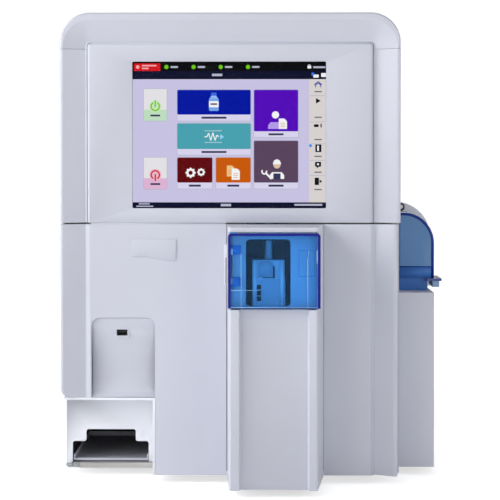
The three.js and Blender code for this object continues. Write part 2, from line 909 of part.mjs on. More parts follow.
function facePlate() {
  const y = [-face.y - face.thickness, -face.y];
  const plate = block(flankX(face.y + face.thickness), y, [cover.bottom - seam, cover.top + seam - gap]);
  const opening = [
    [tubeBay.left, tubeBay.right],
    [cover.bottom, tubeBay.top],
  ];
  const collarSpan = (by) => [
    [tubeBay.left - by, tubeBay.right + by],
    [cover.bottom - by, tubeBay.top + by],
  ];
  const [outerX, outerZ] = collarSpan(tubeBay.wall / 2);
  const sleeve = block(outerX, [y[0], -tubeBay.y - gap * 2], outerZ);
  const lugLeft = cover.left + cover.wall + gap * 2;
  const lugFront = -face.y - face.lugOut - coverHinge.ear;
  const lugs = [face.upperLug, face.lowerLug].flatMap((z) => [
    block([lugLeft, face.lugRight], [lugFront, -column.notchY - gap], around(z, face.lug / 2)),
    block([flankX(face.y)[0], face.lugRight], [lugFront, -face.y], around(z, face.lug / 2)),
  ]);
  const bore = rod(
    "z",
    [coverHinge.x, -coverHinge.y],
    coverHinge.pin + gap / 2,
    cover.bottom,
    cover.top,
    smallSides,
  );
  const solidPlate = union(plate, sleeve, ...lugs);
  return piece(
    "face_plate",
    cut(solidPlate, block(opening[0], [-column.out, 0], opening[1]), bore),
    "cool",
  );
}

function doorLatch() {
  const x = column.leftBase + wall + gap;
  const z = [latch.z, latch.z + latch.height];
  const hook = union(
    block([x, x + latch.width], [-latch.forward, latch.back], z),
    block([x, x + latch.width * 2], [latch.back - latch.width, latch.back], z),
  );
  return piece("door_latch", hook, "zinc");
}

// Sample cover
function coverHingePin() {
  const half = face.lug / 2;
  const span = [face.lowerLug - half - coverHinge.ear * 2, face.upperLug + half + coverHinge.ear * 2];
  return piece(
    "cover_hinge_pin",
    rod("z", [coverHinge.x, -coverHinge.y], coverHinge.pin, ...span, smallSides),
    "steel",
  );
}

function sampleCover() {
  const c = cover;
  const t = c.wall;
  const outer = prism(
    "y",
    roundedRect(c.left, c.right, c.bottom, c.top, c.corner),
    -c.out,
    c.depth - c.out,
  );
  const inner = roundedRect(c.left + t, c.right - t, c.bottom + t, c.top - t, c.corner - t);
  const shell = cut(outer, prism("y", inner, t - c.out, overrun - c.out + c.depth));
  const half = face.lug / 2;
  const ears = [face.upperLug + half, face.lowerLug - half - coverHinge.ear].map((z) =>
    block(
      [c.left + t / 2, coverHinge.x + coverHinge.earWide / 2],
      [t / 2 - c.out, coverHinge.earDeep / 2 - coverHinge.y],
      [z + gap, z + gap + coverHinge.ear - gap * 2],
    ),
  );
  const bore = rod(
    "z",
    [coverHinge.x, -coverHinge.y],
    coverHinge.pin + gap / 2,
    c.bottom + t * 2,
    c.top - t * 2,
    smallSides,
  );
  const lugRoom = [face.upperLug, face.lowerLug].map((z) =>
    block(
      [c.left - overrun, coverHinge.x],
      [t - c.out, c.depth - c.out + overrun],
      around(z, half + gap),
    ),
  );
  return piece("sample_cover", cut(union(shell, ...ears), bore, ...lugRoom), "blue");
}

// Tube bay, holder and probe
function samplerHousing() {
  const t = tubeBay.wall;
  const outer = block(
    [tubeBay.left - t, tubeBay.right + t],
    [-tubeBay.y, tubeBay.back + t],
    [tubeBay.bottom - t, tubeBay.top + t],
  );
  const inner = block(
    [tubeBay.left, tubeBay.right],
    [-tubeBay.y - overrun, tubeBay.back],
    [tubeBay.bottom, tubeBay.top],
  );
  const roof = block(
    [tubeBay.left, tubeBay.right],
    [-tubeBay.roofBack, tubeBay.back],
    [tubeBay.top - overrun, tubeBay.top + t + overrun],
  );
  return piece("sampler_housing", cut(outer, inner, roof), "dark");
}

function tubeHolder() {
  const h = holder;
  const y = [-h.frontY, h.depth - h.frontY];
  const upper = block(around(h.x, h.width / 2), y, [h.stepZ, h.top]);
  const lower = block(around(h.x, h.footWidth / 2), [y[0] - gap, y[1]], [tubeBay.bottom + gap, h.stepZ]);
  const window = new THREE.Shape();
  const half = h.windowWidth / 2;
  window.moveTo(h.x - half, h.windowBottom);
  window.lineTo(h.x + half, h.windowBottom);
  window.absarc(h.x, h.windowTop - half, half, 0, 2 * quarterTurn);
  const slots = [0, 1, 2].map((i) => {
    const z = h.slotZ + i * h.slotPitch;
    const x = h.x + h.slotLeft;
    return block([x, x + h.slotWidth], [y[0] - overrun, y[0] + h.slotDepth], [z, z + h.slotHeight]);
  });
  const shape = cut(
    union(upper, lower),
    rod("z", [h.x, -h.wellY], h.wellR, h.wellFloor, h.top + overrun),
    prism("y", window, -h.frontY - overrun, -h.wellY),
    ...slots,
  );
  const stem = rod("z", [h.x, -h.rodY], h.rodR, h.stepZ, h.rodTop);
  return piece("tube_holder", union(shape, stem), "cool");
}

function probeFrame() {
  const p = probe;
  const y = tubeBay.back + tubeBay.wall + gap;
  const spread = around(holder.x, p.frameSide);
  const shelfY = [p.guideY - p.depth / 2, y + sheet];
  const boxSpan = [spread[0], drive.x + holder.x + drive.radius * 2];
  const frameShape = union(
    block(boxSpan, [y, y + sheet], [p.footZ, p.frameTop]),
    block(spread, shelfY, [p.frameTop - p.shelf, p.frameTop]),
    block(spread, shelfY, [p.frameBottom, p.frameBottom + p.shelf]),
  );
  const shaft = rod(
    "y",
    [holder.x + drive.x, drive.top],
    drive.shaftR + gap,
    y - overrun,
    y + sheet + overrun,
    smallSides,
  );
  const guides = [-1, 1].map((side) =>
    rod(
      "z",
      [holder.x + side * p.guideSpread, p.guideY],
      p.guideR,
      p.frameBottom,
      p.frameTop,
      smallSides,
    ),
  );
  const idlerX = holder.x + drive.x;
  const idler = rod("y", [idlerX, drive.bottom], drive.radius, ...around(drive.y, drive.width / 2));
  const idlerPin = rod("y", [idlerX, drive.bottom], drive.shaftR, drive.y, y + sheet, smallSides);
  return piece("probe_frame", union(cut(frameShape, shaft), ...guides, idler, idlerPin), "zinc");
}

function probeCarriage() {
  const p = probe;
  const z = [p.carriage, p.carriage + p.height];
  const y = around(p.guideY, p.depth / 2);
  const arm = block(
    around(holder.x, p.armWide / 2),
    [p.y - p.armWide / 2, y[0] + wall],
    [z[0], z[0] + p.armHigh],
  );
  const beltX = holder.x + drive.x - drive.radius - drive.belt - gap;
  const clamp = block(
    [holder.x + p.side - wall, beltX],
    around(drive.y, drive.beltWide / 2),
    [z[0] + p.armHigh, z[1]],
  );
  const bores = [-1, 1].map((side) =>
    rod(
      "z",
      [holder.x + side * p.guideSpread, p.guideY],
      p.guideR + p.play,
      z[0] - overrun,
      z[1] + overrun,
      smallSides,
    ),
  );
  const bore = rod("z", [holder.x, p.y], p.needleR + gap, z[0] - overrun, z[1], smallSides);
  return piece(
    "probe_carriage",
    cut(union(block(around(holder.x, p.side), y, z), arm, clamp), ...bores, bore),
    "dark",
  );
}

function needle() {
  const top = probe.carriage + probe.armHigh + wall;
  return piece(
    "sampling_needle",
    rod("z", [holder.x, probe.y], probe.needleR, probe.tip, top, smallSides),
    "steel",
  );
}

function drivePulley() {
  const centre = [holder.x + drive.x, drive.top];
  const wheel = rod("y", centre, drive.radius, ...around(drive.y, drive.width / 2));
  const shaft = rod("y", centre, drive.shaftR, drive.y, frameBackY + motor.shaftIn, smallSides);
  return piece("drive_pulley", union(wheel, shaft), "zinc");
}

function probeBelt() {
  const loop = (radius) => {
    const x = holder.x + drive.x;
    const shape = new THREE.Shape();
    shape.moveTo(x + radius, drive.bottom);
    shape.absarc(x, drive.top, radius, 0, 2 * quarterTurn);
    shape.absarc(x, drive.bottom, radius, 2 * quarterTurn, 4 * quarterTurn);
    return shape;
  };
  const y = around(drive.y, drive.beltWide / 2);
  const outer = prism("y", loop(drive.radius + gap + drive.belt), ...y);
  return piece(
    "probe_belt",
    cut(outer, prism("y", loop(drive.radius + gap), y[0] - overrun, y[1] + overrun)),
    "rubber",
  );
}

const frameBackY = tubeBay.back + tubeBay.wall + gap + sheet;

function probeMotor() {
  const y = frameBackY + gap;
  const half = motor.size / 2;
  const x = holder.x + drive.x;
  const shape = roundedRect(x - half, x + half, drive.top - half, drive.top + half, motor.corner);
  const bore = rod(
    "y",
    [x, drive.top],
    drive.shaftR + gap,
    y - overrun,
    y + motor.length / 2,
    smallSides,
  );
  return piece("probe_motor", cut(prism("y", shape, y, y + motor.length), bore), "black");
}

// Chassis
const panFloor = base + sheet + gap;

function baseTray() {
  const side = body.half - wall - gap;
  const y = body.depth - wall - gap;
  const outline = [
    [-side, strip.y + strip.thickness + gap],
    [bay.right + wall + gap, strip.y + strip.thickness + gap],
    [bay.right + wall + gap, bulkhead.y - seam],
    [side, bulkhead.y - seam],
    [side, y],
    [-side, y],
  ];
  const flange = block([-side, side], [y - sheet, y], [base, panFloor + inlet.height]);
  const legRoom = block(
    [bay.mouthRight - gap, bay.right + wall + gap],
    [strip.y, bay.y + wall + gap],
    [base - overrun, base + overrun],
  );
  const stripRoom = block(
    [strip.left - gap, strip.right + gap],
    [strip.y, bay.y + wall + gap],
    [base - overrun, base + overrun],
  );
  return piece(
    "base_tray",
    cut(union(prism("z", outline, base, base + sheet), flange), legRoom, stripRoom),
    "zinc",
  );
}

function frontBulkhead() {
  const half = body.half - wall - gap;
  const top = body.top - wall - gap;
  const y = [bulkhead.y, bulkhead.y + sheet];
  const through = [y[0] - overrun, y[1] + overrun];
  const plate = prism("y", archRect(half, panFloor, top, body.corner - wall), ...y);
  return piece(
    "front_bulkhead",
    cut(
      plate,
      block([-body.half, bay.right + wall + gap], through, [0, bay.ceiling + gap]),
      block([tubeBay.left - tubeBay.wall - gap, tubeBay.right + tubeBay.wall + gap], through, [
        tubeBay.bottom - tubeBay.wall - gap,
        probe.carriage + probe.height + overrun,
      ]),
      block([reagent.left + reagent.wall, reagent.right - reagent.wall], through, [
        reagent.bottom + reagent.wall,
        reagent.top - reagent.wall,
      ]),
    ),
    "zinc",
  );
}

function innerDeck() {
  const y = [deck.frontY, deck.backY];
  const legZ = [panFloor, deck.z];
  const legs = [deck.legLeft, deck.legRight].map((x) => block([x, x + sheet], y, legZ));
  return piece(
    "inner_deck",
    union(block(around(0, deck.side), y, [deck.z - sheet, deck.z]), ...legs),
    "zinc",
  );
}

function feet() {
  return [[-1, foot.frontY], [1, foot.frontY], [-1, foot.rearY], [1, foot.rearY]].map(([side, y]) => {
    const name = (y === foot.frontY ? "front" : "rear") + (side < 0 ? "_left" : "_right") + "_foot";
    const profile = [
      [0, 0],
      [foot.radius - seam, 0],
      [foot.radius, seam],
      [foot.radius, foot.height - gap],
      [0, foot.height - gap],
    ];
    const pad = new THREE.LatheGeometry(profile.map((p) => new THREE.Vector2(...p)), roundSides);
    const made = piece(name, solid(pad.rotateX(quarterTurn)), "rubber");
    made.position.set(side * foot.side, y, 0);
    return made;
  });
}

function sideCover(name, side) {
  const x = side < 0 ? [-body.half, wall - body.half] : [body.half - wall, body.half];
  const through = [x[0] - overrun, x[1] + overrun];
  const y = [body.coverY + gap, body.depth - wall - gap];
  const slots = Array.from({ length: vents.count }, (_, i) => {
    const slotY = vents.y + i * vents.pitch;
    return block(through, [slotY, slotY + vents.slot], [vents.z, vents.z + vents.height]);
  });
  const cuts = side < 0 ? [block(through, [0, bay.y + wall + gap], [0, bay.ceiling + gap])] : [];
  const post = block(x, [door.returnY + door.swing, y[0] + gap], [base + gap, doorTop]);
  const plate = block(x, y, [base + gap, body.sideTop - gap]);
  return piece(name, cut(side < 0 ? plate : union(plate, post), ...slots, ...cuts), "white");
}

function topCover() {
  const y = [body.coverY + gap, body.depth - wall - gap];
  const outer = prism("y", archRect(body.half, body.sideTop, body.top, body.corner), ...y);
  const inner = archRect(body.half - wall, body.sideTop - overrun, body.top - wall, body.corner - wall);
  return piece("top_cover", cut(outer, prism("y", inner, y[0] - overrun, y[1] + overrun)), "white");
}

function rearPanel() {
  const y = [body.depth - wall, body.depth];
  const through = [y[0] - overrun, y[1] + overrun];
  const slots = Array.from({ length: grille.slots }, (_, i) => {
    const off = (i - (grille.slots - 1) / 2) * grille.pitch;
    const half = Math.sqrt((fan.bore - grille.slot) ** 2 - off ** 2) - grille.slot;
    return block(around(fan.x, half), through, around(fan.z + off, grille.slot / 2));
  });
  const holeFor = (x, z, width, height) =>
    block(around(x, width / 2 + gap), through, around(z, height / 2 + gap));
  const holes = [
    holeFor(inlet.x, inlet.z, inlet.width, inlet.height),
    holeFor(rocker.x, inlet.z, rocker.width + rocker.bezel, rocker.height + rocker.bezel),
    holeFor(data.x, data.z, data.width, data.height),
    holeFor(ports.x, ports.z, ports.width, ports.height),
  ];
  const plate = prism("y", archRect(body.half, base + gap, body.top, body.corner), ...y);
  return piece("rear_panel", cut(plate, ...slots, ...holes), "white");
}

// Stores and fluid parts
function reagentBay() {
  const r = reagent;
  const y = [bulkhead.y + sheet + gap, bulkhead.y + sheet + gap + r.depth];
  const outer = block([r.left, r.right], y, [r.bottom, r.top]);
  const inner = block(
    [r.left + r.wall, r.right - r.wall],
    [0, y[1] - r.wall],
    [r.bottom + r.wall, r.top - r.wall],
  );
  return piece("reagent_bay", cut(outer, inner), "cool");
}

function reagentBottles() {
  const b = bottle;
  const middle = (reagent.left + reagent.right) / 2;
  const z = reagent.bottom + reagent.wall + gap;
  return [-1, 1].map((side) => {
    const x = middle + side * (b.width / 2 + seam / 2);
    const y = b.y + b.deep / 2;
    const shape = union(
      prism("z", roundedRect(...around(x, b.width / 2), b.y, b.y + b.deep, b.corner), z, z + b.height),
      rod("z", [x, y], b.neckR, z + b.height - gap, z + b.height + b.neck),
    );
    const cap = rod("z", [x, y], b.capR, z + b.height + b.neck - gap, z + b.height + b.neck + b.cap);
    return piece(side < 0 ? "lysing_bottle" : "rinse_bottle", union(shape, cap), "bottle");
  });
}

function opticalBench() {
  const b = bench;
  const z = deck.z + gap;
  const x = [b.left, b.left + b.width];
  const shape = union(
    block(x, [b.y, b.y + b.deep], [z, z + b.height]),
    rod("x", [b.y + b.deep / 2, z + b.height / 2], b.snout, x[1] - gap, x[1] + b.snoutLength),
  );
  return piece("optical_bench", shape, "black");
}

function mainBoard() {
  const y = bulkhead.y + sheet + gap;
  const sheetY = [y + board.standoff, y + board.standoff + board.thickness];
  const plate = block([board.left, board.right], sheetY, [board.bottom, board.top]);
  const xs = [board.left + board.postInset, board.right - board.postInset];
  const zs = [board.bottom + board.postInset, board.top - board.postInset];
  const posts = xs.flatMap((x) => zs.map((z) => rod("y", [x, z], board.postR, y, sheetY[1], smallSides)));
  return piece("main_board", union(plate, ...posts), "board");
}

// Loader
const wellX = [(lid.left + collar.right - module.well) / 2, (lid.left + collar.right + module.well) / 2];
const wellY = [module.wellY, module.wellY + module.wellDeep];

function loaderBox() {
  const y = [module.y, module.y + module.depth];
  const inside = block(
    [module.left + wall, module.right - wall],
    [y[0] + wall, y[1] - wall],
    [base - overrun, module.top - wall],
  );
  const mouth = block(
    [wellX[0] - gap, wellX[1] + gap],
    [wellY[0] - gap, wellY[1] + gap],
    [base, module.top + overrun],
  );
  return piece(
    "loader_box",
    cut(block([module.left, module.right], y, [base, module.top]), inside, mouth),
    "white",
  );
}

function loaderWell() {
  const t = sheet;
  const z = [module.wellFloor, module.top];
  const cup = cut(
    block(wellX, wellY, z),
    block([wellX[0] + t, wellX[1] - t], [wellY[0] + t, wellY[1] - t], [z[0] + t, z[1] + overrun]),
  );
  return piece("loader_well", cup, "dark");
}

function loaderCollar() {
  const x = [lid.left, collar.right];
  const y = [lid.y + collar.inset, lid.y + lid.depth - seam];
  const z = [module.top + gap, collar.top];
  const ring = cut(
    block(x, y, z),
    block(
      [x[0] + collar.wall, x[1] - collar.wall],
      [y[0] + collar.wall, y[1] - collar.wall],
      [z[0] - overrun, z[1] + overrun],
    ),
  );
  return piece("loader_collar", ring, "blue");
}

function rearHousing() {
  const h = rearCase;
  const profile = (inset, drop) => {
    const shape = new THREE.Shape();
    shape.moveTo(module.left + inset, module.top + gap - drop);
    shape.lineTo(h.centreX + h.radius - inset, module.top + gap - drop);
    shape.absarc(h.centreX, h.centreZ, h.radius - inset, 0, quarterTurn);
    shape.lineTo(module.left + inset, h.centreZ + h.radius - inset);
    return shape;
  };
  const shell = cut(
    prism("y", profile(0, 0), h.y, h.y + h.depth),
    prism("y", profile(h.wall, overrun), h.y + h.wall, h.y + h.depth - h.wall),
    rod(
      "y",
      [lidHinge.x, lidHinge.z],
      lidHinge.pin + gap / 2,
      h.y - overrun,
      h.y + h.wall + overrun,
      smallSides,
    ),
  );
  return piece("loader_rear_housing", shell, "grey");
}

function lidHingePin() {
  const span = [lidHinge.pinFront, rearCase.y + rearCase.wall + seam];
  return piece(
    "lid_hinge_pin",
    rod("y", [lidHinge.x, lidHinge.z], lidHinge.pin, ...span, smallSides),
    "steel",
  );
}

function lidOutline(inset) {
  const shape = new THREE.Shape();
  const x = lid.right - lid.radius;
  const z = lid.top - lid.radius;
  shape.moveTo(lid.left, lid.bottom);
  shape.lineTo(lid.right - inset, lid.bottom);
  shape.absarc(x, z, lid.radius - inset, 0, quarterTurn);
  shape.lineTo(lid.left, lid.top - inset);
  return shape;
}

function lidShell() {
  const y = [lid.y, lid.y + lid.depth];
  const inside = cut(
    prism("y", lidOutline(lid.wall), y[0] + lid.wall, y[1] + overrun),
    block([lid.left - overrun, lid.left], [y[0], y[1] + overrun], [lid.bottom, lid.top]),
  );
  const tail = block(
    [lid.left, lid.right],
    [y[0] + lid.wall, y[1] + overrun],
    [lid.bottom - overrun, lid.bottom + overrun],
  );
  const trim = tail.intersect(
    block([lid.left, lid.right - lid.wall], [y[0] + lid.wall, y[1] + overrun], [0, lid.top]),
  );
  const ears = [lidHinge.pinFront + gap, y[1] - lidHinge.ear - seam].map((at) =>
    block(
      [lid.left, lidHinge.x + lidHinge.earHalf],
      [at, at + lidHinge.ear],
      [lidHinge.z - lidHinge.earHalf, lid.top - lid.wall / 2],
    ),
  );
  const bore = rod(
    "y",
    [lidHinge.x, lidHinge.z],
    lidHinge.pin + gap / 2,
    y[0] + lid.wall,
    y[1] + overrun,
    smallSides,
  );
  return piece(
    "loader_lid",
    cut(union(cut(prism("y", lidOutline(0), ...y), inside, trim), ...ears), bore),
    "blue",
  );
}

function lidGrip() {
  const g = grip;
  const z = [lid.bottom - gap - g.thickness, lid.bottom - gap];
  const backY = g.frontY + g.depth;
  const insideX = collar.right + gap + wall;
  const plate = prism(
    "z",
    [
      [g.left, g.frontY],
      [g.right, g.frontY],
      [g.right, backY],
      [insideX, backY],
      [insideX, lid.y + lid.wall],
      [g.left, lid.y + lid.wall],
    ],
    ...z,
  );
  const tab = block(
    [g.right - g.tabIn - g.tabWide, g.right - g.tabIn],
    [g.frontY, backY - g.tabIn],
    [z[0] - g.tabHigh, z[0] + gap],
  );
  return piece("lid_grip", union(plate, tab), "blue");
}

// Rear fittings
function fanFrame() {
  const half = fan.size / 2;
  const y = [body.depth - wall - gap - fan.depth, body.depth - wall - gap];
  const ring = cut(
    prism("y", roundedRect(fan.x - half, fan.x + half, fan.z - half, fan.z + half, seam * 2), ...y),
    rod("y", [fan.x, fan.z], fan.bore, y[0] - overrun, y[1] + overrun),
  );
  const spokeY = [y[0], y[0] + sheet];
  const hub = rod("y", [fan.x, fan.z], fan.hub, ...spokeY);
  const spokes = [
    block(around(fan.x, fan.bore + seam), spokeY, around(fan.z, sheet)),
    block(around(fan.x, sheet), spokeY, around(fan.z, fan.bore + seam)),
  ];
  return piece("fan_frame", union(ring, hub, ...spokes), "black");
}

function fanRotor() {
  const y = [body.depth - wall - gap - fan.depth + sheet + gap, body.depth - wall - fan.play - gap];
  const middle = (y[0] + y[1]) / 2;
  const reach = fan.bore - fan.play;
  const depth = y[1] - y[0] - fan.play * 2;
  const blades = Array.from({ length: fan.blades }, (_, i) => {
    const vane = new THREE.BoxGeometry(reach - fan.hub + fan.play, fan.blade, depth);
    vane.rotateX(quarterTurn).rotateX(fan.pitch);
    vane.translate((reach + fan.hub - fan.play) / 2, 0, 0);
    return solid(vane.rotateY((i / fan.blades) * fullTurn).translate(fan.x, middle, fan.z));
  });
  return piece("fan_rotor", union(rod("y", [fan.x, fan.z], fan.hub, ...y), ...blades), "black");
}

function powerInlet() {
  const back = body.depth;
  const width = around(inlet.x, inlet.width / 2);
  const height = around(inlet.z, inlet.height / 2);
  const grow = (span, by) => [span[0] - by, span[1] + by];
  const shell = cut(
    union(
      block(width, [back - inlet.depth, back + gap], height),
      block(grow(width, inlet.flange), [back + gap, back + gap + inlet.lip], grow(height, inlet.flange)),
    ),
    block(
      grow(width, -inlet.wall),
      [back - inlet.depth + inlet.wall, back + overrun],
      grow(height, -inlet.wall),
    ),
  );
  const floor = back - inlet.depth + inlet.wall;
  const pins = [-1, 0, 1].map((side) =>
    block(
      around(inlet.x + side * inlet.pinSpread, inlet.pin / 2),
      [floor - gap, floor + inlet.pinLength],
      around(inlet.z, inlet.pin),
    ),
  );
  return piece("power_inlet", union(shell, ...pins, switchBezel()), "black");
}

const rockerY = body.depth - rocker.out;

function switchBezel() {
  const width = around(rocker.x, rocker.width / 2 + rocker.bezel / 2);
  const height = around(inlet.z, rocker.height / 2 + rocker.bezel / 2);
  const grow = (span, by) => [span[0] - by, span[1] + by];
  const back = body.depth;
  const play = gap + seam / 2;
  const shell = cut(
    union(
      block(width, [back - rocker.depth * 2, back + gap], height),
      block(
        grow(width, rocker.bezel / 2),
        [back + gap, back + gap + sheet],
        grow(height, rocker.bezel / 2),
      ),
    ),
    block(
      around(rocker.x, rocker.width / 2),
      [back - rocker.depth * 2 + sheet, back + overrun],
      around(inlet.z, rocker.height / 2 - sheet / 2 + play / 2),
    ),
  );
  return shell;
}

function powerRocker() {
  const half = rocker.height / 2 - sheet / 2 - seam / 2;
  const y = rockerY;
  const outline = [
    [y - rocker.depth / 2, inlet.z - half / 2],
    [y + rocker.out, inlet.z - half],
    [y + rocker.out, inlet.z],
    [y + rocker.out * 2, inlet.z + half],
    [y - rocker.depth / 2, inlet.z + half / 2],
  ];
  return piece("power_rocker", prism("x", outline, ...around(rocker.x, rocker.width / 2 - gap)), "dark");
}

function fluidPorts() {
  const p = ports;
  const y = [body.depth - p.thickness, body.depth];
  const plate = block(around(p.x, p.width / 2), y, around(p.z, p.height / 2));
  const centres = Array.from({ length: p.nipples }, (_, i) => p.x + (i - (p.nipples - 1) / 2) * p.pitch);
  const nipples = centres.flatMap((x) => [
    rod("y", [x, p.z], p.nippleR, y[1] - gap, y[1] + p.nipple, smallSides),
    rod("y", [x, p.z], p.nippleR + p.barb, y[1] + p.nipple / 2, y[1] + p.nipple - p.nippleR, smallSides),
  ]);
  const bores = centres.map(
    (x) => rod("y", [x, p.z], p.bore, y[0] - overrun, y[1] + p.nipple + overrun, smallSides),
  );
  return piece("fluid_ports", cut(union(plate, ...nipples), ...bores), "cool");
}

function dataPorts() {
  const d = data;
  const y = [body.depth - d.depth, body.depth];
  const shell = block(around(d.x, d.width / 2), y, around(d.z, d.height / 2));
  const deep = [y[0] + sheet, y[1] + overrun];
  const left = d.x - d.width / 2 + d.inset;
  const right = d.x + d.width / 2 - d.inset;
  const rows = [-1, 1].map((side) =>
    block(
      [left, left + d.jackWide],
      deep,
      around(d.z + (side * (d.portHigh + sheet)) / 2, d.portHigh / 2),
    ),
  );
  const jack = block([right - d.jackWide, right], deep, around(d.z, d.jackHigh / 2));
  return piece("data_ports", cut(shell, ...rows, jack), "steel");
}

// Assembly
const frontDoor = group(
  doorPanel(),
  columnShell(),
  facePlate(),
  doorLatch(),
  coverHingePin(),
  group(sampleCover()),
);
const sampler = group(
  samplerHousing(),
  group(tubeHolder()),
  probeFrame(),
  group(probeCarriage(), needle()),
  group(drivePulley()),
  probeBelt(),
  probeMotor(),
);
const loader = group(
  loaderBox(),
  loaderWell(),
  loaderCollar(),
  rearHousing(),
  lidHingePin(),
  group(lidShell(), lidGrip()),
);
const lowerLeft = group(
  leftFrontCover(),
  usbFascia(),
  usbSocket(),
  namePlate(),
  bayShroud(),
  bayLiner(),
  guideStrip(),
  group(trayPiece()),
);
const rear = group(
  rearPanel(),
  fanFrame(),
  group(fanRotor()),
  powerInlet(),
  group(powerRocker()),
  fluidPorts(),
  dataPorts(),
);
const cabinet = group(
  baseTray(),
  ...feet(),
  frontBulkhead(),
  innerDeck(),
  sideCover("left_side_cover", -1),
  sideCover("right_side_cover", 1),
  topCover(),
  reagentBay(),
  ...reagentBottles(),
  opticalBench(),
  mainBoard(),
  doorHinge("upper_door_hinge", true),
  doorHinge("lower_door_hinge", false),
);

const analyzer = group(
  cabinet,
  ...hoodPieces(),
  ...displayPieces(),
  lowerLeft,
  frontDoor,
  sampler,
  loader,
  rear,
);
const bounds = new THREE.Box3().setFromObject(analyzer);
const middle = bounds.getCenter(new THREE.Vector3());
analyzer.position.set(-middle.x, -middle.y, -bounds.min.z);

export default analyzer;
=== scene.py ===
import json
import math
from contextlib import contextmanager

import bmesh
import bpy
from bpy.props import FloatProperty, FloatVectorProperty, IntProperty, PointerProperty
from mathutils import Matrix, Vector


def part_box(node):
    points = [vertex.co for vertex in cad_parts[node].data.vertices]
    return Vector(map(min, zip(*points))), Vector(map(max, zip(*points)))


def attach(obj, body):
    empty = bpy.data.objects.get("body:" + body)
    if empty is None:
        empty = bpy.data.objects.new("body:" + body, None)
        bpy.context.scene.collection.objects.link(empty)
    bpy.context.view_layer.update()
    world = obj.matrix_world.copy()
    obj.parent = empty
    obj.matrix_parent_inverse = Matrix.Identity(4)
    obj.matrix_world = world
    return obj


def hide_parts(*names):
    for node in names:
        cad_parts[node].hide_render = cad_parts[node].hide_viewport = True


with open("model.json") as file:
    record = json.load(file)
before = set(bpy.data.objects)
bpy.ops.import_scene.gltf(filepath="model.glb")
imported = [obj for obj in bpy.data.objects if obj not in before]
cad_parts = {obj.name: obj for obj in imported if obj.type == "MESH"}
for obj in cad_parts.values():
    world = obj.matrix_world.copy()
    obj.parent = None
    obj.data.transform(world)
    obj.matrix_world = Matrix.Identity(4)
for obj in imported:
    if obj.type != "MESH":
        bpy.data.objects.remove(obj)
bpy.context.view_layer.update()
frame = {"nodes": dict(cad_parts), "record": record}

bl_info = {
    "name": "Blood analyzer",
    "version": (1, 0, 0),
    "blender": (4, 5, 0),
    "location": "3D View > Sidebar > Analyzer",
    "description": "Builds the finished look of a benchtop blood analyzer around its packed model",
    "category": "Object",
}

QUARTER = math.pi / 2
MIDDLE = (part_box("top_cover")[0].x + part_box("top_cover")[1].x) / 2
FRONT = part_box("display_fascia")[0].y


def at(x, y, z):
    """A place measured from the cabinet's middle, its front panel and the bench."""
    return Vector((MIDDLE + x, FRONT + y, z))


def length(name, text, value):
    return FloatProperty(name=name, description=text, default=value, unit="LENGTH", precision=5)


def share(name, text, value):
    return FloatProperty(name=name, description=text, default=value, min=0, max=1, subtype="FACTOR")


def count(name, text, value):
    return IntProperty(name=name, description=text, default=value, min=1)


def colour(name, text, value):
    return FloatVectorProperty(
        name=name, description=text, default=value, subtype="COLOR", size=3, min=0, max=1
    )


class ShellSettings(bpy.types.PropertyGroup):
    """Sizes and colours of the moulded covers."""

    edge: length("Edge", "Rounding of the outer edges of covers", 0.0009)
    fine_edge: length("Fine edge", "Rounding of the edges of small parts", 0.0003)
    corner: length("Corner", "Radius of the two upper corners of the hood", 0.038)
    wall: length("Wall", "Thickness of the covers", 0.003)
    corner_steps: count("Corner steps", "Facets in a big round corner", 24)
    fold: FloatProperty(name="Fold", description="Least fold that is rounded", default=0.2, unit="ROTATION")
    white: colour("White", "Moulded covers", (0.63, 0.645, 0.735))
    # Cool grey: the colour of inner mouldings, and also painted shade on the sampling column's channel and
    # on the tube holder's window and plate.
    cool: colour("Cool grey", "Inner mouldings", (0.56, 0.575, 0.66))
    grey: colour("Grey", "Rear housing of the loader", (0.80, 0.80, 0.84))
    dark: colour("Dark", "Charcoal mouldings", (0.018, 0.019, 0.023))
    black: colour("Black", "Black mouldings and powder coat", (0.008, 0.008, 0.009))
    # Painted light: a lighter copy of the white moulding for the bay shroud, the hinge cover and the tube
    # holder's pillars and rod.
    bright: colour("Bright white", "Bay shroud and hinge cover", (0.90, 0.92, 0.98))
    ink: colour("Blue-black", "Lining of the tube bay", (0.006, 0.03, 0.14))


class CoverSettings(bpy.types.PropertyGroup):
    """Tinted covers."""

    clear: colour("Tint", "Tinted panel of the sample cover", (0.24, 0.54, 0.86))
    rim: colour("Rim", "Thick edges of the sample cover", (0.008, 0.005, 0.25))
    knuckle: colour("Knuckle", "Hinge barrels of the sample cover", (0.04, 0.25, 0.62))
    lid: colour("Lid", "Tinted lid of the loader", (0.14, 0.30, 0.57))
    lid_rim: colour("Lid rim", "Thick edges of the lid", (0.008, 0.035, 0.27))
    collar: colour("Collar", "Blue collar under the lid", (0.05, 0.17, 0.50))
    # Painted highlight: a pale colour for the light along the cover's ridges and its sill.
    rib: colour("Ridge", "Pale ridges on the sample cover", (0.30, 0.60, 0.95))
    tab: colour("Tab", "Pale tab of the lid's grip", (0.22, 0.36, 0.56))
    see_through: share("Lid opacity", "Opacity of the tinted lid", 0.86)


class MetalSettings(bpy.types.PropertyGroup):
    """Metals, rubber and small parts."""

    steel: colour("Steel", "Stainless parts", (0.50, 0.48, 0.47))
    zinc: colour("Zinc", "Zinc coated sheet", (0.42, 0.44, 0.46))
    rubber: colour("Rubber", "Feet and belt", (0.012, 0.012, 0.012))
    board: colour("Board", "Circuit board", (0.008, 0.10, 0.035))
    bottle: colour("Bottle", "Reagent bottles", (0.72, 0.76, 0.78))
    cap: colour("Cap", "Bottle caps", (0.03, 0.12, 0.42))
    contact: colour("Contact", "Gilt contacts of the board", (0.72, 0.50, 0.18))
    glass: colour("Glass", "Touch glass", (0.01, 0.01, 0.012))
    screw_radius: length("Screw head", "Radius of the case screws", 0.0032)
    screw_height: length("Screw height", "Height of the case screws", 0.0014)


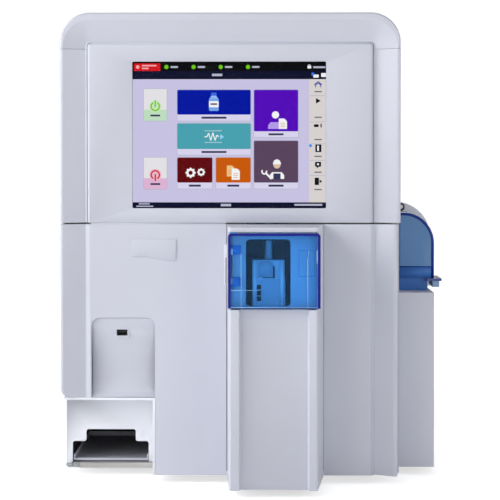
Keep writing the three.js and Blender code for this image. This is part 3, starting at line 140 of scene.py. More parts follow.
class StageSettings(bpy.types.PropertyGroup):
    """Camera and light."""

    lens: FloatProperty(name="Lens", description="Focal length in millimetres", default=107.25)
    aside: length("Aside", "Camera right of the cabinet's middle", 0.035)
    distance: length("Distance", "Camera to front panel", 1.8818)
    height: length("Height", "Camera above the bench", 0.4131)
    pitch: FloatProperty(name="Pitch", description="Tilt down", default=0.0156, unit="ROTATION")
    turn: FloatProperty(name="Turn", description="Turn to the left", default=0.012, unit="ROTATION")
    shift: FloatVectorProperty(name="Shift", description="Lens shift", default=(0.0202, -0.139), size=2)
    floor: colour("Floor", "Floor and backdrop", (0.93, 0.93, 0.93))


class AnalyzerSettings(bpy.types.PropertyGroup):
    """All settings of the analyzer."""

    shell: PointerProperty(type=ShellSettings)
    cover: PointerProperty(type=CoverSettings)
    metal: PointerProperty(type=MetalSettings)
    stage: PointerProperty(type=StageSettings)


def settings():
    return bpy.context.scene.analyzer


# Materials
GRAIN_STRENGTH = 0.35
LEAST_ROUGHNESS = 0.02
COAT_ROUGHNESS = 0.08
SCATTER_DEPTH = 0.004


def link(tree, source, output, target, socket):
    tree.links.new(source.outputs[output], target.inputs[socket])


def node(tree, kind, **values):
    made = tree.nodes.new(kind)
    for key, value in values.items():
        setattr(made, key, value)
    return made


def fill(made, values):
    """Sets a node's own sockets, by their names."""
    for socket, value in values.items():
        made.inputs[socket].default_value = value


def new_material(name):
    """A material with its node tree and its shader."""
    material = bpy.data.materials.new(name)
    material.use_nodes = True
    return material, material.node_tree, material.node_tree.nodes["Principled BSDF"]


def noise(tree, mapping, scale, detail, distortion=0.0):
    made = node(tree, "ShaderNodeTexNoise")
    fill(made, {"Scale": scale, "Detail": detail, "Distortion": distortion})
    link(tree, mapping, "Vector", made, "Vector")
    return made


def between(tree, source, low, high):
    """A texture's middle range spread from low to high."""
    made = node(tree, "ShaderNodeMapRange")
    fill(made, {"From Min": 0.3, "From Max": 0.7, "To Min": low, "To Max": high})
    link(tree, source, "Fac", made, "Value")
    return made


def finish(name, colour, roughness, metallic=0.0, grain=2600, depth=0.00002, cloud=9, shade=0.04,
           stretch=(1, 1, 1), coat=0.0, alpha=1.0, subsurface=0.0, wear=0.05, clear=0.0, shine=0.5,
           bend=1.5):
    """A moulded, painted or metal surface: fine grain in the bump, soft clouds in colour and gloss."""
    material, tree, shader = new_material(name)
    place = node(tree, "ShaderNodeTexCoord")
    mapping = node(tree, "ShaderNodeMapping")
    fill(mapping, {"Scale": stretch})
    link(tree, place, "Object", mapping, "Vector")
    if depth:
        bump = node(tree, "ShaderNodeBump")
        fill(bump, {"Strength": GRAIN_STRENGTH, "Distance": depth})
        link(tree, noise(tree, mapping, grain, 3), "Fac", bump, "Height")
        link(tree, bump, "Normal", shader, "Normal")
    broad = noise(tree, mapping, cloud, 4, 0.4)
    gloss = between(tree, broad, max(roughness - wear, LEAST_ROUGHNESS), min(roughness + wear, 1))
    link(tree, gloss, "Result", shader, "Roughness")
    tint = node(tree, "ShaderNodeMix", data_type="RGBA")
    darker = [c * (1 - shade) for c in colour]
    paler = [min(c * (1 + shade), 1) for c in colour]
    fill(tint, {"A": (*darker, 1), "B": (*paler, 1)})
    link(tree, between(tree, broad, 0, 1), "Result", tint, "Factor")
    link(tree, tint, "Result", shader, "Base Color")
    fill(shader, {
        "Metallic": metallic,
        "Coat Weight": coat,
        "Coat Roughness": COAT_ROUGHNESS,
        "Alpha": alpha,
        "Transmission Weight": clear,
        "Specular IOR Level": shine,
        "IOR": bend,
        "Subsurface Weight": subsurface,
        "Subsurface Scale": SCATTER_DEPTH,
    })
    return material


def glow(name):
    """Lit display: the colour comes from the mesh's own attribute."""
    material, tree, shader = new_material(name)
    picture = node(tree, "ShaderNodeAttribute", attribute_name="picture")
    link(tree, picture, "Color", shader, "Emission Color")
    fill(shader, {
        "Base Color": (0.001, 0.001, 0.001, 1), "Specular IOR Level": 0, "Emission Strength": 1,
    })
    return material


finishes = {}


def make_finishes():
    """All materials, from the colours in the settings."""
    s = settings()
    finishes["white"] = finish("white moulding", s.shell.white, 0.42, shade=0.015, coat=0.06)
    # Painted light: the lighter copy of the white moulding.
    finishes["bright"] = finish("bright moulding", s.shell.bright, 0.3, shade=0.01, coat=0.2)
    # Cool grey mouldings, also used as painted shade.
    finishes["cool"] = finish("cool grey moulding", s.shell.cool, 0.5, shade=0.02)
    finishes["grey"] = finish("grey moulding", s.shell.grey, 0.48, shade=0.02)
    finishes["ink"] = finish("blue-black moulding", s.shell.ink, 0.5, shade=0.1)
    finishes["dark"] = finish("charcoal moulding", s.shell.dark, 0.55, shade=0.1)
    finishes["black"] = finish(
        "black powder coat", s.shell.black, 0.5, grain=1500, depth=0.00006, shade=0.1
    )
    finishes["tint"] = finish(
        "tinted panel", s.cover.clear, 0.05, depth=0, clear=0.97, wear=0.02, shade=0.01, shine=0,
        bend=1.1,
    )
    finishes["rim"] = finish("tinted rim", s.cover.rim, 0.2, depth=0, wear=0.02, shine=0.15)
    finishes["knuckle"] = finish("tinted knuckle", s.cover.knuckle, 0.2, depth=0, wear=0.03)
    # Painted highlight: the pale ridges and the cover's sill.
    finishes["rib"] = finish("pale rib", s.cover.rib, 0.2, depth=0, wear=0.03)
    finishes["lid"] = finish(
        "tinted lid", s.cover.lid, 0.15, depth=0, alpha=s.cover.see_through, wear=0.03, shine=0.2
    )
    finishes["lid rim"] = finish(
        "tinted lid rim", s.cover.lid_rim, 0.2, depth=0, wear=0.03, shine=0.2
    )
    finishes["collar"] = finish("blue moulding", s.cover.collar, 0.35, shade=0.04, shine=0.2)
    finishes["grip"] = finish("blue grip", s.cover.lid_rim, 0.2, shade=0.04, coat=0.2)
    finishes["tab"] = finish("pale blue tab", s.cover.tab, 0.3, shade=0.04)
    brushed = dict(grain=260, depth=0.00004, stretch=(0.06, 6, 6), wear=0.1)
    finishes["steel"] = finish("brushed steel", s.metal.steel, 0.3, metallic=1, **brushed)
    finishes["zinc"] = finish(
        "zinc coat", s.metal.zinc, 0.42, metallic=0.85, cloud=60, shade=0.14, wear=0.12
    )
    finishes["rubber"] = finish("rubber", s.metal.rubber, 0.8, grain=900, depth=0.00008, shade=0.2)
    finishes["board"] = finish("solder mask", s.metal.board, 0.35, grain=500, shade=0.12, coat=0.3)
    finishes["bottle"] = finish("bottle plastic", s.metal.bottle, 0.35, shade=0.02, subsurface=0.3)
    finishes["cap"] = finish("bottle cap", s.metal.cap, 0.4, shade=0.05)
    finishes["gold"] = finish("gilt contact", s.metal.contact, 0.3, metallic=1, shade=0.05)
    finishes["glass"] = finish(
        "touch glass", s.metal.glass, 0.05, depth=0, alpha=0.04, wear=0.01, shine=0.2
    )
    finishes["picture"] = glow("lit picture")


# Mesh helpers
WELD = 0.000004
FLAT_ANGLE = 0.02
SHARP_ANGLE = math.radians(20)
FOLD_ANGLE = 0.52
EDGE_STEPS = 3
CORNER_STEPS = 6


def new_object(name, mesh):
    made = bpy.data.objects.new(name, mesh)
    bpy.context.scene.collection.objects.link(made)
    return made


def settle(piece):
    """Applies a piece's modifiers, so that a plain mesh is left."""
    depsgraph = bpy.context.evaluated_depsgraph_get()
    mesh = bpy.data.meshes.new_from_object(piece.evaluated_get(depsgraph))
    mesh.name = piece.name
    piece.modifiers.clear()
    piece.data = mesh


def place_piece(piece, finish_name, body, nodes=()):
    """Finishes a piece and hangs it on its body, in place of the CAD nodes named."""
    if not piece.data.materials:
        piece.data.materials.append(finishes[finish_name])
    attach(piece, body)
    if nodes:
        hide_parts(*nodes)
    return piece


# The body that each CAD node belongs to.
body_of_node = {n: b for b, names in frame["record"]["behaviour"]["bodies"].items() for n in names}


@contextmanager
def editing(mesh):
    """The mesh opened for editing, and written back at the end."""
    shape = bmesh.new()
    shape.from_mesh(mesh)
    yield shape
    shape.to_mesh(mesh)
    shape.free()


def merged_copy(node_name):
    """A copy of a CAD node's mesh with its triangles merged into flat faces."""
    mesh = frame["nodes"][node_name].data.copy()
    mesh.materials.clear()
    with editing(mesh) as shape:
        bmesh.ops.remove_doubles(shape, verts=shape.verts, dist=WELD)
        bmesh.ops.dissolve_limit(shape, angle_limit=FLAT_ANGLE, verts=shape.verts, edges=shape.edges)
    return mesh


def soften(mesh, chosen, radius, steps):
    """Rounds the edges for which chosen(middle, direction) is true."""
    with editing(mesh) as shape:
        edges = []
        for edge in shape.edges:
            a, b = edge.verts[0].co, edge.verts[1].co
            if edge.calc_face_angle(0) > SHARP_ANGLE and chosen((a + b) / 2, (b - a).normalized()):
                edges.append(edge)
        if not edges:
            raise RuntimeError(mesh.name + ": no edge to soften")
        bmesh.ops.bevel(
            shape, geom=edges, offset=radius, segments=steps, profile=0.5, affect="EDGES",
            clamp_overlap=True,
        )
    return mesh


def refine_arc(mesh, centre, radius, cuts=3, slack=0.00004):
    """Splits the facets of a round stretch about a Y axis and puts the new points on its circle."""

    def on_circle(point):
        return abs(math.hypot(point.x - centre[0], point.z - centre[1]) - radius) < slack

    def across(a, b):
        return abs(a.y - b.y) < slack and (a - b).length < radius * 0.6

    with editing(mesh) as shape:
        facets = []
        for edge in shape.edges:
            a, b = edge.verts[0].co, edge.verts[1].co
            if on_circle(a) and on_circle(b) and across(a, b):
                facets.append(edge)
        if not facets:
            raise RuntimeError(mesh.name + ": no round stretch")
        done = bmesh.ops.subdivide_edges(shape, edges=facets, cuts=cuts, use_grid_fill=True)
        for vert in {v for v in done["geom_inner"] if isinstance(v, bmesh.types.BMVert)}:
            away = Vector((vert.co.x - centre[0], 0, vert.co.z - centre[1]))
            if abs(away.length - radius) < radius * 0.05:
                away = away.normalized() * radius
                vert.co = Vector((centre[0] + away.x, vert.co.y, centre[1] + away.z))
    return mesh


def round_edges(piece, edge, angle=FOLD_ANGLE):
    """Rounds every fold that is sharper than the angle."""
    bevel = piece.modifiers.new("round", "BEVEL")
    bevel.width = edge
    bevel.segments = EDGE_STEPS
    bevel.limit_method = "ANGLE"
    bevel.angle_limit = angle
    bevel.harden_normals = True
    bevel.use_clamp_overlap = True
    settle(piece)


def smooth_piece(name, mesh, edge, angle=FOLD_ANGLE):
    """An object with softly rounded edges from a mesh of flat faces."""
    mesh.shade_smooth()
    piece = new_object(name, mesh)
    if edge:
        round_edges(piece, edge, angle)
    return piece


def stand_in(node_name, mesh, finish_name, edge, angle=FOLD_ANGLE):
    """Stands a rounded, finished mesh in for a CAD node."""
    piece = smooth_piece(node_name + "_shell", mesh, edge, angle)
    return place_piece(piece, finish_name, body_of_node[node_name], [node_name])


def flatten(piece):
    """Flat shading without the bevel's own normals, for a wide face with small cuts in it."""
    for layer in [a for a in piece.data.attributes if a.name == "custom_normal"]:
        piece.data.attributes.remove(layer)
    piece.data.shade_flat()


def dress(node_name, finish_name, edge, angle=FOLD_ANGLE):
    return stand_in(node_name, merged_copy(node_name), finish_name, edge, angle)


def dress_all(names, finish_name, edge, angle=FOLD_ANGLE):
    for name in names:
        dress(name, finish_name, edge, angle)


def extra(mesh, finish_name, body, edge=0.0):
    """A piece that the CAD leaves to the looks, named as its mesh is."""
    place_piece(smooth_piece(mesh.name, mesh, edge), finish_name, body)


def block(name, low, high, finish_name, slot, body, edge=0.0):
    """A block between two corners that the CAD leaves to the looks."""
    extra(brick(name, low, high), finish_name, body, edge)


def paint(piece, finish_name, chosen):
    """Gives a second finish to the faces for which chosen(face) is true."""
    piece.data.materials.append(finishes[finish_name])
    index = len(piece.data.materials) - 1
    for face in piece.data.polygons:
        if chosen(face):
            face.material_index = index


def arc(centre, radius, start, stop, steps):
    """Points on a circle in a plane, from angle start to angle stop."""
    turns = [start + (stop - start) * i / steps for i in range(steps + 1)]
    return [(centre[0] + radius * math.cos(t), centre[1] + radius * math.sin(t)) for t in turns]


def circle(centre, radius, sides=24):
    """Outline of a regular polygon."""
    return arc(centre, radius, 0, 4 * QUARTER * (sides - 1) / sides, sides - 1)


def rounded_box(left, right, bottom, top, radius):
    """Outline of a rectangle with round corners."""
    if not radius:
        return [(left, bottom), (right, bottom), (right, top), (left, top)]
    corners = [(right, bottom, -1), (right, top, 0), (left, top, 1), (left, bottom, 2)]
    points = []
    for x, z, turn in corners:
        inward_x = math.copysign(radius, x - left - radius)
        inward_z = math.copysign(radius, z - bottom - radius)
        centre = (x - inward_x, z - inward_z)
        points += arc(centre, radius, turn * QUARTER, (turn + 1) * QUARTER, CORNER_STEPS)
    return points


def tombstone(left, right, bottom, top, radius):
    """Outline of a rectangle with square lower and round upper corners."""
    upper = arc((right - radius, top - radius), radius, 0, QUARTER, CORNER_STEPS)
    upper += arc((left + radius, top - radius), radius, QUARTER, 2 * QUARTER, CORNER_STEPS)
    return [(left, bottom), (right, bottom), *upper]


def slab(name, outline, near, far, hole=None):
    """A plate standing across the depth, from near to far, with an optional hole of as many points."""
    loops = [outline] if hole is None else [outline, hole]
    verts = [(x, y, z) for loop in loops for y in (near, far) for x, z in loop]
    faces = []
    size = len(outline)
    for i in range(len(loops)):
        start = i * 2 * size
        for k in range(size):
            n = (k + 1) % size
            side = (start + k, start + n, start + size + n, start + size + k)
            faces.append(side if i == 0 else side[::-1])
    if hole is None:
        faces += [tuple(range(size))[::-1], tuple(range(size, 2 * size))]
    else:
        for k in range(size):
            n = (k + 1) % size
            faces.append((n, k, 2 * size + k, 2 * size + n))
            faces.append((size + k, size + n, 3 * size + n, 3 * size + k))
    return closed_mesh(name, verts, faces)


def carve(mesh, cutter):
    """Cuts one closed solid out of another."""
    piece, tool = new_object(mesh.name, mesh), new_object(cutter.name, cutter)
    cut = piece.modifiers.new("cut", "BOOLEAN")
    cut.solver = "EXACT"
    cut.object = tool
    settle(piece)
    left = piece.data
    bpy.data.objects.remove(piece)
    bpy.data.objects.remove(tool)
    bpy.data.meshes.remove(cutter)
    return left


def face_outwards(mesh):
    """Turns the faces of a closed mesh outwards."""
    with editing(mesh) as shape:
        bmesh.ops.recalc_face_normals(shape, faces=shape.faces)


def closed_mesh(name, verts, faces):
    mesh = bpy.data.meshes.new(name)
    mesh.from_pydata(verts, [], faces)
    face_outwards(mesh)
    return mesh


def brick(name, low, high):
    """A block between two corners."""
    return slab(name, rounded_box(low[0], high[0], low[2], high[2], 0), low[1], high[1])


def joined(name, meshes):
    """One mesh that holds several closed solids."""
    shape = bmesh.new()
    for mesh in meshes:
        shape.from_mesh(mesh)
        bpy.data.meshes.remove(mesh)
    whole = bpy.data.meshes.new(name)
    shape.to_mesh(whole)
    shape.free()
    return whole


def swap_axes(mesh, order):
    """Trades a mesh's axes, as (0, 2, 1) does for depth and height, and keeps its faces outwards."""
    for vert in mesh.vertices:
        vert.co = [vert.co[axis] for axis in order]
    mesh.flip_normals()
    return mesh


# Geometry node trees
class TreeMaker:
    """A geometry node tree that takes named sizes and ends in one plain material."""

    def __init__(self, name, **inputs):
        self.tree = bpy.data.node_groups.new(name, "GeometryNodeTree")
        face = self.tree.interface
        face.new_socket("Geometry", in_out="INPUT", socket_type="NodeSocketGeometry")
        face.new_socket("Geometry", in_out="OUTPUT", socket_type="NodeSocketGeometry")
        for label, kind in {**inputs, "Material": "Material"}.items():
            face.new_socket(label.replace("_", " "), in_out="INPUT", socket_type="NodeSocket" + kind)
        self.given = self.tree.nodes.new("NodeGroupInput").outputs

    def feed(self, socket, source):
        """Links a socket to another one, or sets its value."""
        if isinstance(source, bpy.types.NodeSocket):
            self.tree.links.new(source, socket)
        else:
            socket.default_value = source

    def add(self, kind, values=None, **feeds):
        """Adds a node. A feed is a socket's name with spaces as underscores, and a source or a value."""
        made = self.tree.nodes.new(kind)
        for key, value in (values or {}).items():
            setattr(made, key, value)
        for label, source in feeds.items():
            self.feed(made.inputs[label.replace("_", " ")], source)
        return made.outputs

    def math(self, operation, first, second):
        made = self.tree.nodes.new("ShaderNodeMath")
        made.operation = operation
        self.feed(made.inputs[0], first)
        self.feed(made.inputs[1], second)
        return made.outputs[0]

    def copies(self, points, piece, **feeds):
        """The piece on each point."""
        return self.add("GeometryNodeInstanceOnPoints", Points=points, Instance=piece, **feeds)["Instances"]

    def end(self, geometry):
        real = self.add("GeometryNodeRealizeInstances", Geometry=geometry)["Geometry"]
        done = self.add("GeometryNodeSetMaterial", Geometry=real, Material=self.given["Material"])
        last = self.tree.nodes.new("NodeGroupOutput")
        self.tree.links.new(done["Geometry"], last.inputs["Geometry"])
        return self.tree


def grow(name, tree, seeds=(), edges=(), **values):
    """Runs a node tree on seed points and keeps its plain result."""
    mesh = bpy.data.meshes.new(name)
    mesh.from_pydata([tuple(p) for p in seeds], edges, [])
    piece = new_object(name, mesh)
    maker = piece.modifiers.new("maker", "NODES")
    maker.node_group = tree
    for item in tree.interface.items_tree:
        key = item.name.replace(" ", "_")
        if item.in_out == "INPUT" and key in values:
            maker[item.identifier] = values[key]
    settle(piece)
    if not piece.data.polygons:
        raise RuntimeError(name + ": the node tree made nothing")
    return piece


def arch_tree():
    """A sheet bent over a path with round corners."""
    t = TreeMaker("bent cover", Corner="Float", Steps="Int", Wall="Float", Depth="Float")
    given = t.given
    path = t.add("GeometryNodeMeshToCurve", Mesh=given["Geometry"])["Curve"]
    bent = t.add(
        "GeometryNodeFilletCurve", {"mode": "POLY"}, Curve=path, Radius=given["Corner"],
        Count=given["Steps"],
    )["Curve"]
    strip = t.add("GeometryNodeCurvePrimitiveQuadrilateral", Width=given["Wall"], Height=given["Depth"])
    cover = t.add("GeometryNodeCurveToMesh", Curve=bent, Profile_Curve=strip["Curve"], Fill_Caps=True)
    return t.end(cover["Mesh"])


def screw_tree():
    """Cross-head screws, one on each seed point, all turned alike."""
    t = TreeMaker("cross-head screws", Radius="Float", Height="Float", Recess="Vector", Turn="Vector")
    given = t.given
    top = t.math("MULTIPLY", given["Radius"], HEAD_TOP)
    head = t.add(
        "GeometryNodeMeshCone", Vertices=20, Radius_Top=top, Radius_Bottom=given["Radius"],
        Depth=given["Height"],
    )["Mesh"]
    bar = t.add("GeometryNodeMeshCube", Size=given["Recess"])["Mesh"]
    lift = t.add("ShaderNodeCombineXYZ", Z=given["Height"])["Vector"]
    cut = t.tree.nodes.new("GeometryNodeMeshBoolean")
    cut.operation = "DIFFERENCE"
    t.feed(cut.inputs[0], head)
    for turn in (0, QUARTER):
        slot = t.add("GeometryNodeTransform", Geometry=bar, Translation=lift, Rotation=(0, 0, turn))
        t.feed(cut.inputs[1], slot["Geometry"])
    return t.end(t.copies(given["Geometry"], cut.outputs["Mesh"], Rotation=given["Turn"]))


def row_tree():
    """Bars in a straight row."""
    t = TreeMaker("row of bars", Count="Int", Start="Vector", Step="Vector", Bar="Vector")
    given = t.given
    line = t.add(
        "GeometryNodeMeshLine", {"mode": "OFFSET"}, Count=given["Count"], Start_Location=given["Start"],
        Offset=given["Step"],
    )["Mesh"]
    bar = t.add("GeometryNodeMeshCube", Size=given["Bar"])["Mesh"]
    return t.end(t.copies(line, bar))


def ring_tree():
    """Upright ribs round a centre, each facing outwards."""
    t = TreeMaker("ring of ribs", Count="Int", Radius="Float", Rib="Vector", Centre="Vector")
    given = t.given
    ring = t.add("GeometryNodeMeshCircle", Vertices=given["Count"], Radius=given["Radius"])["Mesh"]
    each = t.math("DIVIDE", 4 * QUARTER, given["Count"])
    angle = t.math("MULTIPLY", t.add("GeometryNodeInputIndex")["Index"], each)
    facing = t.add("ShaderNodeCombineXYZ", Z=angle)["Vector"]
    rib = t.add("GeometryNodeMeshCube", Size=given["Rib"])["Mesh"]
    placed = t.copies(ring, rib, Rotation=facing)
    real = t.add("GeometryNodeRealizeInstances", Geometry=placed)["Geometry"]
    return t.end(t.add("GeometryNodeTransform", Geometry=real, Translation=given["Centre"])["Geometry"])


def teeth_tree():
    """Teeth along a closed belt."""
    t = TreeMaker("belt teeth", Count="Int", Tooth="Vector")
    path = t.add("GeometryNodeMeshToCurve", Mesh=t.given["Geometry"])["Curve"]
    even = t.add("GeometryNodeResampleCurve", Curve=path, Count=t.given["Count"])["Curve"]
    along = t.add("GeometryNodeInputTangent")["Tangent"]
    turned = t.add("FunctionNodeAlignRotationToVector", {"axis": "Z"}, Vector=along)["Rotation"]
    tooth = t.add("GeometryNodeMeshCube", Size=t.given["Tooth"])["Mesh"]
    return t.end(t.copies(even, tooth, Rotation=turned))


trees = {}


def make_trees():
    trees["arch"] = arch_tree()
    trees["screws"] = screw_tree()
    trees["row"] = row_tree()
    trees["ring"] = ring_tree()
    trees["teeth"] = teeth_tree()


# Sizes of a screw in shares of its head's radius: the top of the head, its recess and its seat.
HEAD_TOP = 0.78
RECESS_LONG = 1.1
RECESS_WIDE = 0.26
SEAT = 1.25
# Turn of a screw that stands on a face of each side.
FACING = {
    "front": (QUARTER, 0, 0),
    "rear": (-QUARTER, 0, 0),
    "left": (0, -QUARTER, 0),
    "right": (0, QUARTER, 0),
}


def screws(name, places, facing, radius=None):
    """Cross-head screws on a face of the chassis, which their heads stand on."""
    metal = settings().metal
    radius = radius or metal.screw_radius
    piece = grow(
        name, trees["screws"], places, Radius=radius, Height=metal.screw_height,
        Recess=(radius * RECESS_LONG, radius * RECESS_WIDE, metal.screw_height), Turn=FACING[facing],
        Material=finishes["steel"],
    )
    place_piece(piece, "steel", "chassis")


def bars(name, number, start, step, bar, finish_name, body="chassis"):
    piece = grow(
        name, trees["row"], Count=number, Start=tuple(start), Step=tuple(step), Bar=tuple(bar),
        Material=finishes[finish_name],
    )
    place_piece(piece, finish_name, body)


def ribs(name, number, radius, rib, centre, finish_name):
    piece = grow(
        name, trees["ring"], Count=number, Radius=radius, Rib=tuple(rib), Centre=tuple(centre),
        Material=finishes[finish_name],
    )
    place_piece(piece, finish_name, "chassis")


class Builder(bpy.types.Operator):
    """Shared base of the building steps."""

    bl_options = {"REGISTER", "UNDO"}

    def execute(self, context):
        self.build(context.scene.analyzer)
        return {"FINISHED"}


# Places on the hood's section, from its side, its top and the front panel.
RIM_OUT = 0.005
RIM_BREAK = 0.002
RIM_SIDE = 0.0044
RIM_TOP = 0.0092
VALLEY_SIDE = 0.0315
VALLEY_TOP = 0.036
VALLEY_CORNER = 0.006
SPLIT_SIDE = 0.0336
SPLIT_TOP = 0.0376
SPLIT_CORNER = 0.0048
SPLIT_NEAR = 0.00315
SPLIT_FAR = 0.0065

# Play round a thin strip that closes a joint, and its depth.
PLAY = 0.00005
STRIP_DEPTH = 0.0012


def cowl_profile(shell):
    """Section of the hood: inset from the side, inset from the top, corner radius and depth."""
    wall = shell.wall
    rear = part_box("hood_cowl")[1].y - FRONT
    outer = [
        (0, 0, shell.corner, rear),
        (0, 0, shell.corner, RIM_BREAK - RIM_OUT),
        (RIM_BREAK, RIM_BREAK, shell.corner - RIM_BREAK, -RIM_OUT),
        (RIM_SIDE, RIM_TOP, shell.corner - RIM_SIDE, -RIM_OUT),
        (VALLEY_SIDE, VALLEY_TOP, VALLEY_CORNER, RIM_OUT),
        (SPLIT_SIDE, SPLIT_TOP, SPLIT_CORNER, SPLIT_NEAR),
    ]
    inner = [
        (SPLIT_SIDE, SPLIT_TOP, SPLIT_CORNER, SPLIT_FAR),
        (VALLEY_SIDE, VALLEY_TOP, VALLEY_CORNER, RIM_OUT + wall),
        (RIM_SIDE + wall, RIM_TOP + wall, shell.corner - wall - RIM_SIDE, wall - RIM_OUT),
        (wall, wall, shell.corner - wall, wall - RIM_OUT),
        (wall, wall, shell.corner - wall, rear),
    ]
    return outer + inner


def cowl_mesh(shell):
    """The hood's shell, lofted from one arch for each point of its section."""
    low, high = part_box("hood_cowl")
    half = (high.x - low.x) / 2
    verts, faces = [], []
    rings = cowl_profile(shell)
    for side, top, corner, depth in rings:
        edge, crown = half - side, high.z - top
        right = arc((edge - corner, crown - corner), corner, 0, QUARTER, shell.corner_steps)
        left = arc((corner - edge, crown - corner), corner, QUARTER, 2 * QUARTER, shell.corner_steps)
        path = [(edge, low.z), *right, *left, (-edge, low.z)]
        verts += [at(x, depth, 0) + Vector((0, 0, z)) for x, z in path]
    size = len(verts) // len(rings)
    for r in range(len(rings)):
        a, b = r * size, (r + 1) % len(rings) * size
        faces += [(a + k, a + k + 1, b + k + 1, b + k) for k in range(size - 1)]
    faces.append(tuple(r * size for r in range(len(rings))))
    faces.append(tuple(r * size + size - 1 for r in range(len(rings))))
    return closed_mesh("hood_cowl", verts, faces)


class ANALYZER_OT_hood(Builder):
    """Hood: cowl, side strips, display fascia and top cover."""

    bl_idname = "analyzer.hood"
    bl_label = "Hood"

    def build(self, s):
        shell = s.shell
        stand_in("hood_cowl", cowl_mesh(shell), "white", shell.edge / 3, shell.fold)
        names = ["hood_left_strip", "hood_right_strip", "display_fascia"]
        dress_all(names, "white", shell.edge, shell.fold)
        self.filler()
        self.top_cover(shell)

    def filler(self):
        """Strip that closes the joint above the display fascia."""
        low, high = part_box("display_fascia")
        near = FRONT + SPLIT_NEAR + 2 * PLAY
        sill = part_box("hood_cowl")[1].z - SPLIT_TOP
        block(
            "fascia_filler", (low.x + SPLIT_CORNER, near, high.z + PLAY),
            (high.x - SPLIT_CORNER, near + STRIP_DEPTH, sill - PLAY), "white", "white_shell", "chassis",
        )

    def top_cover(self, shell):
        """Sheet bent over the top, with the hood's two round corners."""
        low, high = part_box("top_cover")
        inset = shell.wall / 2
        middle = (low.y + high.y) / 2
        left, right, top = low.x + inset, high.x - inset, high.z - inset
        path = [(left, middle, low.z), (left, middle, top), (right, middle, top), (right, middle, low.z)]
        piece = grow(
            "top_cover_shell", trees["arch"], path, [(0, 1), (1, 2), (2, 3)], Corner=shell.corner - inset,
            Steps=shell.corner_steps, Wall=shell.wall, Depth=high.y - low.y, Material=finishes["white"],
        )
        face_outwards(piece.data)
        piece.data.shade_smooth()
        round_edges(piece, shell.fine_edge)
        place_piece(piece, "white", "chassis", ["top_cover"])


# Screen
DISPLAY_DOTS = (640, 480)
GLASS_LAP = 0.004


def shown(*levels):
    """A display colour from its red, green and blue levels of 0 to 255."""
    return tuple(c / 255 / 12.92 if c < 11 else ((c / 255 + 0.055) / 1.055) ** 2.4 for c in levels)


class Picture:
    """Flat coloured shapes on the display, placed in display dots from its upper left corner."""

    LAYER = 0.00003

    def __init__(self, left, right, bottom, top, back):
        self.left, self.top, self.back = left, top, back
        self.dot = ((right - left) / DISPLAY_DOTS[0], (top - bottom) / DISPLAY_DOTS[1])
        self.verts, self.faces, self.tints = [], [], []

    def shape(self, points, tint, layer):
        """A closed flat solid. A higher layer lies nearer the glass."""
        start, size = len(self.verts), len(points)
        area = sum(a[0] * b[1] - b[0] * a[1] for a, b in zip(points, points[1:] + points[:1]))
        ordered = points if area < 0 else points[::-1]
        for depth in (self.back - self.LAYER * (layer + 1), self.back):
            for x, y in ordered:
                self.verts.append((self.left + x * self.dot[0], depth, self.top - y * self.dot[1]))
        self.faces.append([start + k for k in range(size)])
        self.faces.append([start + size + k for k in reversed(range(size))])
        for k in range(size):
            n = (k + 1) % size
            self.faces.append([start + k, start + size + k, start + size + n, start + n])
        self.tints += [tint] * (size + 2)

    def bar(self, x, y, wide, high, tint, layer=3):
        self.shape([(x, y), (x + wide, y), (x + wide, y + high), (x, y + high)], tint, layer)

    def disc(self, x, y, radius, tint, layer=3, sides=24):
        self.shape(circle((x, y), radius, sides), tint, layer)

    def ring(self, x, y, radius, line, tint, layer=3, start=0.0, stop=4 * QUARTER, sides=20):
        outer = arc((x, y), radius, start, stop, sides)
        inner = arc((x, y), radius - line, stop, start, sides)
        self.shape(outer + inner, tint, layer)

    def line(self, points, line, tint, layer=3):
        """A stroke along a row of points."""
        for (ax, ay), (bx, by) in zip(points, points[1:]):
            span = math.hypot(bx - ax, by - ay)
            px, py = (ay - by) / span * line / 2, (bx - ax) / span * line / 2
            ends = [(ax + px, ay + py), (bx + px, by + py), (bx - px, by - py), (ax - px, ay - py)]
            self.shape(ends, tint, layer)

    def mesh(self):
        mesh = bpy.data.meshes.new("screen_picture")
        mesh.from_pydata(self.verts, [], self.faces)
        layer = mesh.color_attributes.new("picture", "FLOAT_COLOR", "CORNER")
        for face, tint in zip(mesh.polygons, self.tints):
            for corner in face.loop_indices:
                layer.data[corner].color = (*tint, 1)
        return mesh


WHITE_DOT = shown(250, 250, 252)
BLACK_DOT = shown(12, 12, 16)
NAVY_DOT = shown(16, 20, 46)
LAVENDER_DOT = shown(206, 201, 233)
STRIP_DOT = shown(223, 218, 244)
SAND_DOT = shown(222, 216, 214)
GREEN_DOT = shown(112, 205, 30)
RED_DOT = shown(215, 25, 35)
PALE_DOT = shown(186, 190, 212)
INK_DOT = shown(58, 58, 92)

# Left, top, right and bottom of a tile, the height of its caption strip, and its colour.
TILES = {
    "vial": (148, 92, 391, 193, 20, shown(0, 22, 165)),
    "trace": (148, 202, 391, 305, 19, shown(75, 165, 180)),
    "gears": (148, 314, 264, 416, 20, shown(98, 8, 14)),
    "sheets": (276, 314, 391, 416, 20, shown(206, 92, 5)),
    "person": (402, 92, 548, 247, 19, shown(86, 8, 190)),
    "helper": (402, 259, 548, 416, 20, shown(92, 70, 96)),
}


def draw_tiles(p):
    for left, top, right, bottom, strip, tint in TILES.values():
        p.shape(rounded_box(left - 2, right + 2, top - 2, bottom + 2, 6), PALE_DOT, 1)
        p.bar(left, bottom - strip - 6, right - left, strip, STRIP_DOT, 2)
        p.shape(rounded_box(left, right, bottom - strip, bottom, 4), STRIP_DOT, 2)
        p.shape(rounded_box(left, right, top, bottom - strip, 4), tint, 3)
        middle = (left + right) / 2
        wide = (right - left) * 0.34
        p.bar(middle - wide / 2, bottom - strip * 0.66, wide, strip * 0.34, INK_DOT, 4)


